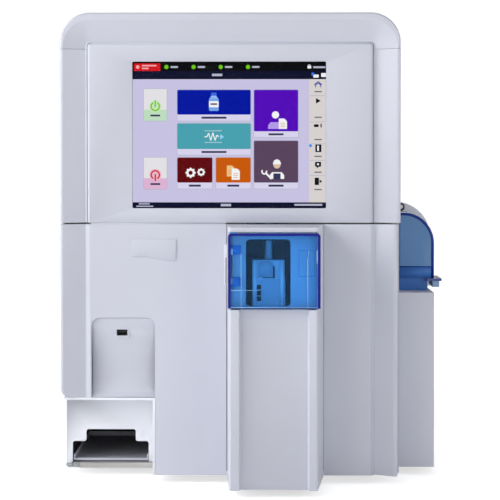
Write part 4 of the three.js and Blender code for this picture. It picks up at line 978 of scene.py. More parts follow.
def draw_vial(p):
    """A bottle with a cap and a bare label."""
    x, base = 269, 161
    p.shape(rounded_box(x - 16, x + 16, base - 42, base, 4), shown(120, 170, 240), 4)
    shoulder = [(x - 14, base - 40), (x + 14, base - 40), (x + 8, base - 50), (x - 8, base - 50)]
    p.shape(shoulder, shown(150, 190, 250), 4)
    p.bar(x - 9, base - 60, 18, 10, shown(60, 110, 225), 4)
    p.bar(x - 16, base - 32, 32, 20, WHITE_DOT, 5)
    p.bar(x - 11, base - 25, 22, 5, INK_DOT, 6)


def draw_trace(p):
    """A wave between two dotted lines, and an arrow head."""
    for y in (225, 263):
        for k in range(9):
            p.bar(240 + 6.4 * k, y, 3.4, 2.4, WHITE_DOT, 4)
    wave = [(238, 246), (246, 246), (252, 234), (259, 258), (266, 232), (273, 258), (279, 240), (286, 246)]
    p.line(wave, 3, WHITE_DOT, 4)
    p.shape([(290, 237), (303, 246), (290, 255)], shown(150, 215, 250), 4)


def draw_gears(p):
    for x, y, radius in ((192, 364, 14), (227, 362, 11)):
        for px, py in circle((x, y), radius, 8):
            p.disc(px, py, radius * 0.24, WHITE_DOT, 4, 8)
        p.ring(x, y, radius, radius * 0.5, WHITE_DOT, 4)


def draw_sheet(p, x, y, wide, high, tint, layer):
    """A sheet with a folded corner and lines."""
    right, base, fold = x + wide, y + high, wide * 0.32
    p.shape([(x, y), (right - fold, y), (right, y + fold), (right, base), (x, base)], tint, layer)
    for k in range(3):
        row = y + high * (0.42 + 0.17 * k)
        p.bar(x + wide * 0.2, row, wide * 0.6, 1.8, shown(220, 150, 90), layer + 1)


def draw_person(p, x, y, tint, body):
    """Head and shoulders."""
    p.disc(x, y, 12, tint, 4)
    half, neck, arm, foot = 24, y + 24, y + 34, y + 46
    left, right = [(x - half, foot), (x - half, arm)], [(x + half, arm), (x + half, foot)]
    p.shape([*left, (x - 16, neck), (x + 16, neck), *right], body, 4)


def draw_icons(p):
    """Generic icons: bottle, trace, gears, sheets, a person with a sheet and one with a tool."""
    draw_vial(p)
    draw_trace(p)
    draw_gears(p)
    draw_sheet(p, 312, 340, 26, 36, shown(245, 200, 140), 4)
    draw_sheet(p, 328, 350, 27, 37, WHITE_DOT, 6)
    draw_person(p, 473, 174, WHITE_DOT, shown(186, 160, 240))
    draw_sheet(p, 484, 186, 27, 34, WHITE_DOT, 6)
    draw_person(p, 478, 338, shown(226, 196, 170), WHITE_DOT)
    p.shape([(464, 336), (468, 324), (478, 319), (488, 324), (492, 336)], WHITE_DOT, 5)
    p.bar(466, 366, 24, 20, INK_DOT, 5)
    p.line([(460, 384), (442, 366)], 6, WHITE_DOT, 6)
    p.ring(436, 360, 10, 5, WHITE_DOT, 6, -0.4, 3.8)


def draw_power(p, top, mark, tint, shade, halo, turn):
    """A tile with a round power mark on a halo, upright or turned over."""
    left, wide, high, split = 37, 76, 104, 68
    p.shape(rounded_box(left - 2, left + wide + 2, top - 2, top + high + 2, 6), PALE_DOT, 1)
    p.bar(left, top, wide, split, shown(234, 232, 236), 2)
    p.bar(left, top + split, wide, high - split, shade, 2)
    middle = left + wide / 2
    p.disc(middle, mark, 20, halo, 3)
    p.ring(middle, mark, 16, 4.6, tint, 4, turn - 1.05, turn + 4.2)
    p.bar(middle - 2.4, mark - (20 if turn == 0 else 2), 4.8, 22, tint, 4)
    p.bar(left + 22, top + high - 20, wide - 44, 6, INK_DOT, 3)


def draw_bars(p):
    """Status bar, title bar, side bar with marks and the bar at the foot."""
    wide, high = DISPLAY_DOTS
    p.bar(0, 0, wide, high, LAVENDER_DOT, 0)
    p.bar(0, 0, wide, 30, BLACK_DOT, 1)
    p.bar(0, 30, wide, 27, NAVY_DOT, 1)
    p.bar(0, 461, wide, 19, NAVY_DOT, 1)
    p.bar(4, 5, 88, 25, RED_DOT, 2)
    p.disc(17, 17, 6, shown(250, 170, 175), 3)
    p.bar(31, 10, 48, 5, shown(250, 170, 175))
    p.bar(31, 19, 22, 5, shown(250, 170, 175))
    for x in (112, 202, 292, 382):
        p.disc(x, 17, 7, GREEN_DOT)
        p.bar(x + 14, 14, 24, 6, PALE_DOT)
    p.bar(263, 39, 34, 8, PALE_DOT)
    p.ring(585, 14, 5, 2, WHITE_DOT, 3, 2 * QUARTER, 4 * QUARTER)
    p.bar(579, 14, 12, 8, WHITE_DOT)
    p.bar(598, 15, 40, 6, PALE_DOT)
    p.bar(592, 36, 9, 9, shown(60, 130, 245))
    p.shape(rounded_box(598, 616, 42, 52, 2), WHITE_DOT, 3)
    p.shape(rounded_box(624, 640, 37, 50, 2), WHITE_DOT, 3)
    p.bar(584, 57, 56, 404, SAND_DOT, 1)
    for y in (110, 196, 268, 322, 372):
        p.bar(586, y, 52, 2, PALE_DOT, 2)
    p.disc(589, 275, 5, shown(60, 150, 245), 3)
    p.bar(292, 466, 34, 8, PALE_DOT)
    p.bar(20, 464, 36, 4, PALE_DOT)
    p.bar(12, 472, 56, 4, PALE_DOT)
    p.bar(536, 466, 92, 6, PALE_DOT)


def draw_marks(p):
    """Marks down the side bar, each with a bar under it: house, arrow, drops, book, speech and door."""
    x, ink = 614, shown(18, 18, 26)
    p.line([(x - 13, 76), (x, 65), (x + 13, 76)], 3.4, shown(80, 84, 170), 3)
    p.line([(x - 8, 84), (x - 8, 76), (x, 70), (x + 8, 76), (x + 8, 84)], 3, shown(80, 84, 170), 3)
    p.shape([(x - 7, 119), (x + 9, 128), (x - 7, 137)], ink, 3)
    p.shape(rounded_box(x - 14, x + 2, 205, 214, 3), ink, 3)
    p.bar(x + 8, 203, 4, 12, ink)
    p.bar(x - 9, 271, 20, 25, ink)
    p.bar(x - 3, 275, 6, 17, WHITE_DOT, 4)
    p.shape(rounded_box(x - 10, x + 10, 328, 344, 3), ink, 3)
    p.shape([(x - 4, 343), (x + 4, 343), (x - 4, 350)], ink, 3)
    p.bar(x - 3, 333, 6, 6, WHITE_DOT, 4)
    p.bar(x - 11, 380, 14, 24, ink)
    p.shape([(x + 5, 386), (x + 14, 392), (x + 5, 398)], ink, 4)
    for y in (96, 180, 253, 308, 360, 417):
        p.bar(x - 12, y, 24, 4, shown(110, 110, 120))


class ANALYZER_OT_screen(Builder):
    """Touch screen: glass, module, frame and lit picture."""

    bl_idname = "analyzer.screen"
    bl_label = "Screen"

    def build(self, s):
        dress("touch_glass", "glass", s.shell.fine_edge)
        dress_all(["display_module", "display_frame"], "black", s.shell.fine_edge)
        low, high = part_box("touch_glass")
        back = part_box("display_module")[0].y - 0.00002
        left, right = low.x + GLASS_LAP, high.x - GLASS_LAP
        picture = Picture(left, right, low.z + GLASS_LAP, high.z - GLASS_LAP, back)
        draw_bars(picture)
        draw_tiles(picture)
        draw_icons(picture)
        draw_power(picture, 89, 146, GREEN_DOT, shown(196, 228, 196), shown(206, 236, 190), 0)
        draw_power(picture, 314, 371, RED_DOT, shown(228, 184, 218), shown(240, 186, 206), 2 * QUARTER)
        draw_marks(picture)
        extra(picture.mesh(), "picture", "chassis")


def ahead(face):
    """Whether a face looks to the front."""
    return face.normal.y < -0.9


def runs_deep(along):
    """Whether an edge runs from front to back."""
    return abs(along.y) > 0.99


# Lower left front
class ANALYZER_OT_left_front(Builder):
    """Lower left front: cover, scooped USB fascia, socket and bare name plate."""

    bl_idname = "analyzer.left_front"
    bl_label = "Left front"

    def build(self, s):
        shell = s.shell
        flatten(dress("left_front_cover", "white", shell.edge, shell.fold))
        self.seam()
        dress("usb_fascia", "white", shell.fine_edge, shell.fold)
        dress("name_plate", "white", shell.fine_edge)
        self.socket(shell)

    def seam(self):
        """Strip that closes the joint under the hood, behind the flat part of the cover."""
        high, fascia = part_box("left_front_cover")[1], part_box("display_fascia")[0]
        facet, flank, near = 0.004, 0.001, FRONT + 0.0007
        block(
            "seam_filler", (fascia.x + facet, near, high.z + PLAY),
            (high.x - flank, near + STRIP_DEPTH, fascia.z - PLAY), "white", "white_shell", "chassis",
        )

    def socket(self, shell):
        """The socket's steel shell, painted black inside as painted shade, with its tongue, in a flush
        bezel.
        """
        low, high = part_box("usb_socket")
        case = dress("usb_socket", "steel", shell.fine_edge)
        middle = (low + high) / 2
        # Faces that look inwards or to the front are painted black: painted shade in the socket's opening.
        paint(case, "black", lambda f: (f.center - middle).dot(f.normal) < 0 or ahead(f))
        border, corner, play, proud, sunk = 0.0022, 0.0016, 0.0002, 0.0016, 0.0012
        outer = rounded_box(low.x - border, high.x + border, low.z - border, high.z + border, corner)
        inner = rounded_box(low.x - play, high.x + play, low.z - play, high.z + play, play)
        ring = slab("usb_bezel", outer, low.y - proud, low.y + sunk, inner)
        extra(ring, "white", "chassis", shell.fine_edge / 2)
        side, end, thick = 0.0022, 0.001, 0.0014
        block(
            "usb_tongue", (low.x + side, low.y + end, middle.z + play),
            (high.x - side, high.y - end, middle.z + play + thick),
            "dark", "black_plastic", "chassis", shell.fine_edge / 2,
        )


# Bay
class ANALYZER_OT_bay(Builder):
    """Bay with its shroud, liner, guide strip and tray."""

    bl_idname = "analyzer.bay"
    bl_label = "Bay"

    def build(self, s):
        self.shroud(s.shell)
        dress("bay_liner", "dark", s.shell.fine_edge)
        dress("guide_strip", "steel", s.shell.fine_edge)
        dress("tray", "cool", s.shell.fine_edge)
        self.brackets(s.shell)

    def shroud(self, shell):
        """The notch over the tray has round corners and a broad soft edge in front."""
        mesh = merged_copy("bay_shroud")
        low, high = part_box("bay_shroud")
        inside = 0.004
        depth = high.y - shell.wall

        def within(place):
            across = low.x + inside < place.x < high.x - inside * 2
            return across and low.z + inside < place.z < high.z - inside

        def corner(middle, along):
            return runs_deep(along) and within(middle) and middle.y < high.y

        def mouth(middle, along):
            return abs(along.y) < 0.1 and within(middle) and abs(middle.y - depth) < 0.0002

        def foot(middle, along):
            beside = middle.x < low.x + inside * 1.1
            return runs_deep(along) and beside and middle.z < high.z - shell.wall / 2

        soften(mesh, corner, 0.003, 6)
        soften(mesh, mouth, 0.0014, 4)
        for vert in mesh.vertices:
            if vert.co.x < low.x + inside / 4:
                vert.co.x += inside
        soften(mesh, foot, shell.wall * 0.9, 6)
        # The shroud takes the lighter white: painted light where the overhang shades it.
        stand_in("bay_shroud", mesh, "bright", shell.fine_edge)

    def brackets(self, shell):
        """Bright bracket with its screw, and a stop beside it, at the end of the guide strip."""
        strip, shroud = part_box("guide_strip"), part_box("bay_shroud")
        lap, gap, wide, deep, sunk = 0.001, 0.0006, 0.0088, 0.006, 0.0003
        y, z = strip[0].y + lap, strip[0].z + lap
        low = (strip[0].x - wide, y, z)
        high = (strip[0].x - gap, y + deep, strip[1].z - sunk)
        zinc = ("zinc", "zinc_steel", "chassis", shell.fine_edge)
        block("strip_bracket", low, high, *zinc)
        stop = (low[0] - lap, y + deep + lap, z + 0.004)
        block("strip_stop", (shroud[0].x + gap, y + 2 * lap, z), stop, *zinc)
        face = y - settings().metal.screw_height / 2
        place = ((low[0] + high[0]) / 2, face, (low[2] + high[2]) / 2)
        screws("bracket_screw", [place], "front", 0.0018)


class ANALYZER_OT_door(Builder):
    """Front door: panel, sampling column, face plate, latch and hinges."""

    bl_idname = "analyzer.door"
    bl_label = "Front door"

    def build(self, s):
        shell = s.shell
        dress("door_panel", "white", shell.edge, shell.fold)
        column = dress("sampling_column", "white", shell.edge, shell.fold)
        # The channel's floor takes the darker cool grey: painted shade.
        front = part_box("sampling_column")[0].y
        near, far = front + 0.004, front + 0.008
        paint(column, "cool", lambda f: near < f.center.y < far and ahead(f))
        self.face_plate(shell)
        self.hinge_cover(shell)
        dress_all(["door_latch", "upper_door_hinge", "lower_door_hinge"], "zinc", shell.fine_edge)

    def hinge_cover(self, shell):
        """Slim strip over the hinge line beside the sample cover, in the lighter white as painted light, and
        a black strip along it as painted shade in the gap.
        """
        low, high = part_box("sample_cover")
        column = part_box("sampling_column")[0].x
        near, far, gap_near = low.y + 0.022, low.y + 0.030, low.y + 0.0216
        # Lighter white: painted light on the hinge cover.
        block(
            "hinge_cover", (column - 0.0024, near, high.z - 0.063),
            (column + 0.001, far, high.z - 0.0145), "bright", "white_shell", "front_door", shell.fine_edge,
        )
        # Black strip: painted shade in the gap beside the column.
        block(
            "hinge_gap", (column - 0.0005, gap_near, high.z - 0.0625),
            (column + 0.0002, near, high.z - 0.030), "black", "black_plastic", "front_door",
        )

    def face_plate(self, shell):
        """The opening for the tube holder has round corners."""
        mesh = merged_copy("face_plate")
        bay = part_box("sampler_housing")
        wall = 0.0025
        sides = (bay[0].x + wall, bay[1].x - wall)

        def corner(middle, along):
            return runs_deep(along) and min(abs(middle.x - side) for side in sides) < 0.0002

        soften(mesh, corner, 0.005, 8)
        stand_in("face_plate", mesh, "white", shell.fine_edge)


# Width of the sample cover's dark edge at the sides, the top and the foot, and its thickness.
COVER_SIDE = 0.0032
COVER_CROWN = 0.0026
COVER_FOOT = 0.0004
COVER_WALL = 0.0024
# Place of the hinge axis, from the cover's left side and its front.
COVER_HINGE = (0.0057, 0.009)


class ANALYZER_OT_sample_cover(Builder):
    """Tinted sample cover with its dark edges, hinge knuckles, ribs and latch, and its hinge pin."""

    bl_idname = "analyzer.sample_cover"
    bl_label = "Sample cover"

    def build(self, s):
        low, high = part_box("sample_cover")
        back = low.y + COVER_WALL
        self.edges(low, high, back)
        self.ears(low, high, back)
        panel = slab("sample_cover_panel", self.opening(low, high, PLAY, 0.001), low.y + 0.0004, back - PLAY)
        self.blue(panel, "tint", 0.0001)
        self.mouldings(low, high, back + PLAY)
        corner = (low.x + 0.0106, low.y + 0.006, high.z + 0.0019)
        tab = brick("cover_tab", (low.x + 0.0022, back, high.z + 0.0001), corner)
        self.blue(tab, "knuckle", 0.0002)
        dress("cover_hinge_pin", "steel", s.shell.fine_edge)

    def blue(self, mesh, finish_name, edge=0.0):
        """Hangs a blue piece on the cover."""
        extra(mesh, finish_name, "sample_cover", edge)

    def opening(self, low, high, play, corner):
        """Outline of the hole for the panel, less the play."""
        left, right = low.x + COVER_SIDE, high.x - COVER_SIDE
        foot, crown = low.z + COVER_FOOT, high.z - COVER_CROWN
        return tombstone(left + play, right - play, foot + play, crown - play, corner)

    def edges(self, low, high, skin):
        """Dark edges round the panel, with room for the two lugs of the hinge."""
        wall, reach = COVER_WALL, 0.0038
        outline = tombstone(low.x, high.x, low.z, high.z, 0.0036)
        front = slab("front", outline, low.y, skin, self.opening(low, high, 0, 0.0012))
        inner = tombstone(low.x + wall, high.x - wall, low.z + wall / 2, high.z - wall, 0.0016)
        back = slab("back", outline, skin, high.y, inner)
        for lug in (high.z - 0.022, high.z - 0.058):
            corner = (low.x + COVER_HINGE[0], high.y + wall, lug + reach)
            back = carve(back, brick("room", (low.x - wall, skin, lug - reach), corner))
        rim = stand_in("sample_cover", joined("sample_cover", [front, back]), "rim", 0.0002)
        # The level faces at the cover's foot are painted pale: a painted highlight along the sill.
        sill = low.z + wall / 2 + 0.0001
        paint(rim, "rib", lambda f: f.center.z < sill and abs(f.normal.z) > 0.5)

    def ears(self, low, high, back):
        """Two ears that hold the hinge pin."""
        wall, wide, deep, thick = COVER_WALL, 0.0087, 0.0115, 0.0024
        centre = (low.x + COVER_HINGE[0], low.y + COVER_HINGE[1])
        ears = []
        for bottom in (high.z - 0.0182, high.z - 0.0645):
            ear = brick("ear", (low.x + wall, back, bottom), (low.x + wide, low.y + deep, bottom + thick))
            bore = slab("bore", circle(centre, 0.00165, 12), bottom - wall, bottom + 2 * wall)
            ears.append(carve(ear, swap_axes(bore, (0, 2, 1))))
        self.blue(joined("cover_ears", ears), "knuckle")

    def mouldings(self, low, high, back):
        """Knuckles and latch behind the panel, and fine ridges on it, pale as painted highlights."""
        left, right = low.x + 0.0156, high.x - 0.0157
        knuckles = [
            slab("knuckle", rounded_box(low.x + 0.0054, left, top - 0.0112, top, 0.001), back, back + 0.0032)
            for top in (high.z - 0.0139, high.z - 0.0523)
        ]
        self.blue(joined("cover_knuckles", knuckles), "knuckle")
        # The ridges are painted pale: painted highlights along the edges behind the panel and along the
        # sill.
        line, bottom, top = 0.0006, low.z + 0.0014, high.z - 0.0200
        catch, shelf, sill = high.x - 0.0046, low.z + 0.0215, low.z + 0.0008
        lines = [
            ((left, bottom), (left + line, high.z - 0.0235)),
            ((right, bottom), (right + line, top)),
            ((right, high.z - 0.0290), (right + line * 2, top)),
            ((catch, high.z - 0.0360), (catch + line * 2, top)),
            ((low.x + 0.0040, shelf), (low.x + 0.036, shelf + line)),
            ((low.x + 0.0034, sill), (high.x - 0.0034, sill + line)),
        ]
        ridges = [brick("rib", (a[0], low.y + 0.0001, a[1]), (b[0], low.y + 0.0004, b[1])) for a, b in lines]
        self.blue(joined("cover_ribs", ridges), "rib")
        left, right, bottom, top = high.x - 0.0262, high.x - 0.0068, high.z - 0.0518, high.z - 0.0202
        line = 0.0004
        outer = rounded_box(left, right, bottom, top, 0.001)
        inner = rounded_box(left + line, right - line, bottom + line, top - line, 0.0008)
        self.blue(slab("cover_latch", outer, back + 0.0013, back + 0.0022, inner), "knuckle")


class ANALYZER_OT_sampler(Builder):
    """Tube bay, tube holder, probe drive and needle."""

    bl_idname = "analyzer.sampler"
    bl_label = "Sampler"

    def build(self, s):
        fine = s.shell.fine_edge
        dress("sampler_housing", "ink", fine)
        dress("probe_carriage", "dark", fine)
        holder = dress("tube_holder", "white", fine)
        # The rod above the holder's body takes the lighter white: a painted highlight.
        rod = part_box("tube_holder")[0].z + 0.0589
        paint(holder, "bright", lambda f: f.center.z > rod)
        self.holder_front()
        dress_all(["probe_frame", "drive_pulley"], "zinc", fine)
        dress("sampling_needle", "steel", fine)
        self.belt()
        dress("probe_motor", "black", fine)

    def holder_front(self):
        """Round side pillars in the lighter white as painted highlights, a raised lower plate and a window
        sheet in darker grey as painted shade, and black bars as painted shade in three slots on its front.
        """
        low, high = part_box("tube_holder")
        body = body_of_node["tube_holder"]
        face, step, wide = low.y, low.z + 0.0343, 0.0056
        pillars = []
        for x in (low.x + wide / 2, high.x - wide / 2 - 0.001):
            half_round = arc((x, face), wide / 2, -2 * QUARTER, 0, 10)
            pillars.append(swap_axes(slab("pillar", half_round, low.z, step + 0.0236), (0, 2, 1)))
        # Pillars in the lighter white: painted highlights.
        extra(joined("holder_pillars", pillars), "bright", body)
        # The plate and the window sheet take the darker cool grey: painted shade.
        outline = rounded_box(low.x + 0.0114, low.x + 0.0338, low.z, step, 0.0012)
        plate = slab("holder_plate", outline, face - 0.0012, face)
        extra(plate, "cool", body, 0.0002)
        left, right, sill, crown, cut = low.x + 0.0073, low.x + 0.0255, step + 0.0029, step + 0.0220, 0.003
        window = [
            (left, sill), (right, sill), (right, crown - cut), (right - cut, crown), (left + cut, crown),
            (left, crown - cut),
        ]
        sheet = slab("holder_window", window, face - 0.0004, face)
        extra(sheet, "cool", body)
        # Black bars: painted shade in the three slots.
        slot, pitch = (0.0048, 0.0006, 0.0056), (0, 0, 0.0072)
        start = (low.x + 0.0084, face - 0.0002, low.z + 0.0105)
        bars("holder_slots", 3, start, pitch, slot, "black", body)

    def belt(self):
        """Toothed belt round both pulleys."""
        dress("probe_belt", "rubber", 0)
        low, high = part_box("probe_belt")
        thick, steps = 0.0016, 12
        radius = (high.x - low.x) / 2 - thick
        x, y = (low.x + high.x) / 2, (low.y + high.y) / 2
        path = arc((x, high.z - radius - thick), radius, 0, 2 * QUARTER, steps)
        path += arc((x, low.z + radius + thick), radius, 2 * QUARTER, 4 * QUARTER, steps)
        seeds = [(px, y, pz) for px, pz in path]
        edges = [(i, (i + 1) % len(seeds)) for i in range(len(seeds))]
        tooth = (0.0008, high.y - low.y, 0.0009)
        teeth = grow(
            "belt_teeth", trees["teeth"], seeds, edges, Count=120, Tooth=tooth, Material=finishes["rubber"]
        )
        place_piece(teeth, "rubber", body_of_node["probe_belt"])


class ANALYZER_OT_loader(Builder):
    """Side loader: box, well, collar, tinted lid, grip and rear housing."""

    bl_idname = "analyzer.loader"
    bl_label = "Loader"

    def build(self, s):
        shell = s.shell
        dress("loader_box", "white", shell.edge)
        dress("loader_well", "dark", shell.fine_edge)
        self.rear_housing(shell)
        dress("loader_collar", "collar", shell.fine_edge)
        self.lid(shell)
        self.grip(shell)
        self.collar_line()
        dress("lid_hinge_pin", "steel", shell.fine_edge)

    def grip(self, shell):
        """Dark plate with a pale tab under it, which share one CAD node."""
        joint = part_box("lid_grip")[1].z - 0.0034
        mesh = merged_copy("lid_grip")
        with editing(mesh) as shape:
            parts = [*shape.verts, *shape.edges, *shape.faces]
            bmesh.ops.bisect_plane(shape, geom=parts, plane_co=(0, 0, joint), plane_no=(0, 0, 1))
        piece = stand_in("lid_grip", mesh, "grip", shell.fine_edge)
        paint(piece, "tab", lambda f: f.center.z < joint - 0.0002)

    def rear_housing(self, shell):
        """Round-backed housing with the boss and the screw of its hinge."""
        low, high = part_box("loader_rear_housing")
        radius, boss_radius, proud, head = 0.0473, 0.0056, 0.0003, 0.0004
        mesh = merged_copy("loader_rear_housing")
        refine_arc(mesh, (high.x - radius, high.z - radius), radius)
        stand_in("loader_rear_housing", mesh, "grey", shell.edge)
        x, z = low.x + 0.0143, high.z - 0.0067
        boss = slab("housing_boss", circle((x, z), boss_radius), low.y - proud, low.y)
        extra(boss, "dark", "chassis")
        screws("housing_screw", [(x, low.y - head, z)], "front", 0.0036)

    def collar_line(self):
        """The collar, seen through the lid with a dark line at its top."""
        low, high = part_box("loader_collar")
        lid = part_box("loader_lid")
        body, proud, wide, lift, inset = body_of_node["loader_lid"], 0.0002, 0.0014, 0.0035, 0.003
        right, back, top = lid[1].x - inset, lid[0].y + proud, high.z + lift
        line = (low.x, lid[0].y - proud, top - wide)
        block("collar_line", line, (right, back, top), "lid rim", "tinted_blue", body)
        shade = (low.x, lid[0].y - proud / 2, lid[0].z + proud)
        block("collar_shade", shade, (right, back, top - wide), "collar", "tinted_blue", body)

    def lid(self, shell):
        """Light front face, and a dark band where the curved wall is seen edge on."""
        low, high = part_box("loader_lid")
        radius, wall, band, steps, proud, sunk = 0.0402, 0.0025, 0.0036, 24, 0.0002, 0.0003
        centre = (high.x - radius, high.z - radius)
        mesh = refine_arc(merged_copy("loader_lid"), centre, radius)
        refine_arc(mesh, centre, radius - wall)
        stand_in("loader_lid", mesh, "lid", shell.fine_edge)
        outer = [(high.x, low.z), *arc(centre, radius, 0, QUARTER, steps), (low.x, high.z)]
        curve = arc(centre, radius - band, QUARTER, 0, steps)
        inner = [(low.x, high.z - band), *curve, (high.x - band, low.z)]
        edge = slab("lid_band", outer + inner, low.y - proud, low.y + sunk)
        extra(edge, "lid rim", body_of_node["loader_lid"])


# Size and number of the parts in each row of the main board, from its foot up.
BOARD_ROWS = (
    ((0.016, 0.0022, 0.016), 5),
    ((0.01, 0.002, 0.006), 7),
    ((0.006, 0.006, 0.012), 8),
    ((0.003, 0.0014, 0.0016), 20),
)


def screw_seats(places, near, far, order=None):
    """Round cutters for the seats of screws, from near to far, with their axes traded if asked."""
    radius = settings().metal.screw_radius * SEAT
    seats = [slab("seat", circle(place, radius), near, far) for place in places]
    if order:
        seats = [swap_axes(seat, order) for seat in seats]
    return joined("seats", seats)


class ANALYZER_OT_cabinet(Builder):
    """Cabinet: base, feet, bulkhead, deck, side covers and what they hold."""

    bl_idname = "analyzer.cabinet"
    bl_label = "Cabinet"

    def build(self, s):
        shell = s.shell
        for side in ("left", "right"):
            self.side_cover(s, side)
        dress_all(["base_tray", "front_bulkhead", "inner_deck"], "zinc", shell.fine_edge)
        feet = ["front_left_foot", "front_right_foot", "rear_left_foot", "rear_right_foot"]
        dress_all(feet, "rubber", shell.fine_edge)
        for name in feet:
            low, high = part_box(name)
            radius = (high.x - low.x) / 2
            rib = (0.0008, 0.0012, 0.005)
            ribs(name + "_ribs", 28, radius, rib, (low + high) / 2, "rubber")
        dress("reagent_bay", "cool", shell.fine_edge)
        self.bottles(shell)
        dress("optical_bench", "black", shell.edge)
        self.board(shell)

    def side_cover(self, s, side):
        """Cover with a row of case screws, each sunk in its own round seat."""
        name = side + "_side_cover"
        low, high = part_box(name)
        inset, sunk = 0.016, 0.0018
        rear = high.y - inset
        places = [(rear, high.z - inset), (rear, (low.z + high.z) / 2), (rear, low.z + inset * 2)]
        outside = low.x if side == "left" else high.x
        floor = outside + sunk if side == "left" else outside - sunk
        seats = screw_seats(places, floor, 2 * outside - floor, (1, 0, 2))
        flatten(stand_in(name, carve(merged_copy(name), seats), "white", s.shell.fine_edge))
        screws(name + "_screws", [(floor, y, z) for y, z in places], side)

    def bottles(self, shell):
        """Bottles with coloured, ribbed caps."""
        cap, grip = 0.016, (0.0008, 0.001, 0.013)
        for name in ("lysing_bottle", "rinse_bottle"):
            low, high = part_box(name)
            piece = dress(name, "bottle", shell.edge)
            paint(piece, "cap", lambda f: f.center.z > high.z - cap)
            centre = ((low.x + high.x) / 2, (low.y + high.y) / 2, high.z - cap / 2)
            ribs(name + "_grip", 36, 0.018, grip, centre, "cap")

    def board(self, shell):
        """Board with chips, sockets and a row of contacts."""
        dress("main_board", "board", shell.fine_edge)
        low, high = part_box("main_board")
        face, inset = low.y, 0.02
        tall = (high.z - low.z) / 6
        for k, (size, number) in enumerate(BOARD_ROWS):
            step = (high.x - low.x - 2 * inset) / (number - 1)
            start = (low.x + inset, face - size[1] / 2, low.z + tall * (k + 1.4))
            bars("board_parts_%d" % (k + 1), number, start, (step, 0, 0), size, "black")
        contact, pitch = (0.0016, 0.0008, 0.008), (0.0036, 0, 0)
        start = (low.x + 0.03, face - contact[1] / 2, low.z + contact[2])
        bars("board_contacts", 40, start, pitch, contact, "gold")


class ANALYZER_OT_rear(Builder):
    """Rear panel with fan, power inlet, rocker switch and ports."""

    bl_idname = "analyzer.rear"
    bl_label = "Rear"

    def build(self, s):
        self.panel(s.shell)
        dress_all(["fan_frame", "fan_rotor", "power_inlet"], "black", s.shell.fine_edge)
        dress("power_rocker", "dark", s.shell.fine_edge)
        dress("fluid_ports", "cool", s.shell.fine_edge)
        dress("data_ports", "steel", s.shell.fine_edge)

    def panel(self, shell):
        """Panel with its case screws and the four of the fan, each sunk in its own round seat."""
        low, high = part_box("rear_panel")
        mesh = merged_copy("rear_panel")
        for side in (low.x + shell.corner, high.x - shell.corner):
            refine_arc(mesh, (side, high.z - shell.corner), shell.corner)
        sunk = settings().metal.screw_height
        inset, reach = 0.012, 0.0075
        heights = (low.z + inset, low.z + 0.2, low.z + 0.38, high.z - 0.06)
        places = [(x, z) for x in (low.x + inset, high.x - inset) for z in heights]
        places += [(MIDDLE + x, high.z - inset) for x in (-0.12, 0, 0.12)]
        fan_low, fan_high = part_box("fan_frame")
        fan_sides = (fan_low.x + reach, fan_high.x - reach)
        places += [(x, z) for x in fan_sides for z in (fan_low.z + reach, fan_high.z - reach)]
        seats = screw_seats(places, high.y - sunk, high.y + sunk)
        flatten(stand_in("rear_panel", carve(mesh, seats), "white", shell.fine_edge))
        screws("rear_screws", [(x, high.y - sunk, z) for x, z in places], "rear")


class ANALYZER_OT_stage(Builder):
    """Floor, lamps, world and camera."""

    bl_idname = "analyzer.stage"
    bl_label = "Stage"

    def build(self, s):
        scene, stage = bpy.context.scene, s.stage
        floor = make_floor(stage.floor)
        data = bpy.data.cameras.new("camera")
        data.lens = stage.lens
        data.shift_x, data.shift_y = stage.shift
        camera = new_object("camera", data)
        camera.location = at(stage.aside, -stage.distance, stage.height)
        camera.rotation_euler = (QUARTER - stage.pitch, 0, stage.turn)
        scene.camera = camera
        scene.view_settings.view_transform = "Standard"
        make_lights()


# Share of the backdrop's light that shows in gloss.
GLOSS_SHARE = 0.3
# Distance from the middle where the floor's own light starts and stops to grow, and its two strengths.
FLOOR_LIFT = {"From Min": 0.5, "From Max": 2.2, "To Min": 0.62, "To Max": 1.02}
# Light of the world on the object, and as a backdrop.
WORLD_LIGHT = {"To Min": 0.05, "To Max": 1.05}
# Place, size and power of each lamp. All point at one place over the middle of the bench.
LAMPS = {
    "key lamp": ((-1.2, -1.9, 1.0), 1.1, 10),
    "high left lamp": ((-1.9, -1.1, 1.7), 1.1, 23),
    "low left lamp": ((-2.1, -0.6, 0.6), 1.1, 19),
    "right lamp": ((2.1, -0.5, 0.8), 1.1, 11),
    "near right lamp": ((0.75, -1.3, 0.35), 0.5, 1.5),
    "fill lamp": ((1.2, -1.9, 1.0), 1.1, 4),
    "front lamp": ((0.0, -2.2, 0.35), 1.1, 4.5),
    "top lamp": ((0.0, -0.4, 2.2), 1.3, 2),
    "rear lamp": ((0.3, 2.0, 1.4), 1.5, 16),
}
LAMP_TARGET = Vector((0, 0, 0.3))


def seen_rays(tree):
    """One where a ray shows the backdrop straight or through glass, and less where it shows in gloss."""
    rays = node(tree, "ShaderNodeLightPath")
    gloss = node(tree, "ShaderNodeMath", operation="MULTIPLY")
    fill(gloss, {1: GLOSS_SHARE})
    link(tree, rays, "Is Glossy Ray", gloss, 0)
    clear = node(tree, "ShaderNodeMath", operation="MAXIMUM")
    link(tree, rays, "Is Camera Ray", clear, 0)
    link(tree, rays, "Is Transmission Ray", clear, 1)
    whole = node(tree, "ShaderNodeMath", operation="MAXIMUM")
    link(tree, gloss, 0, whole, 0)
    link(tree, clear, 0, whole, 1)
    return whole


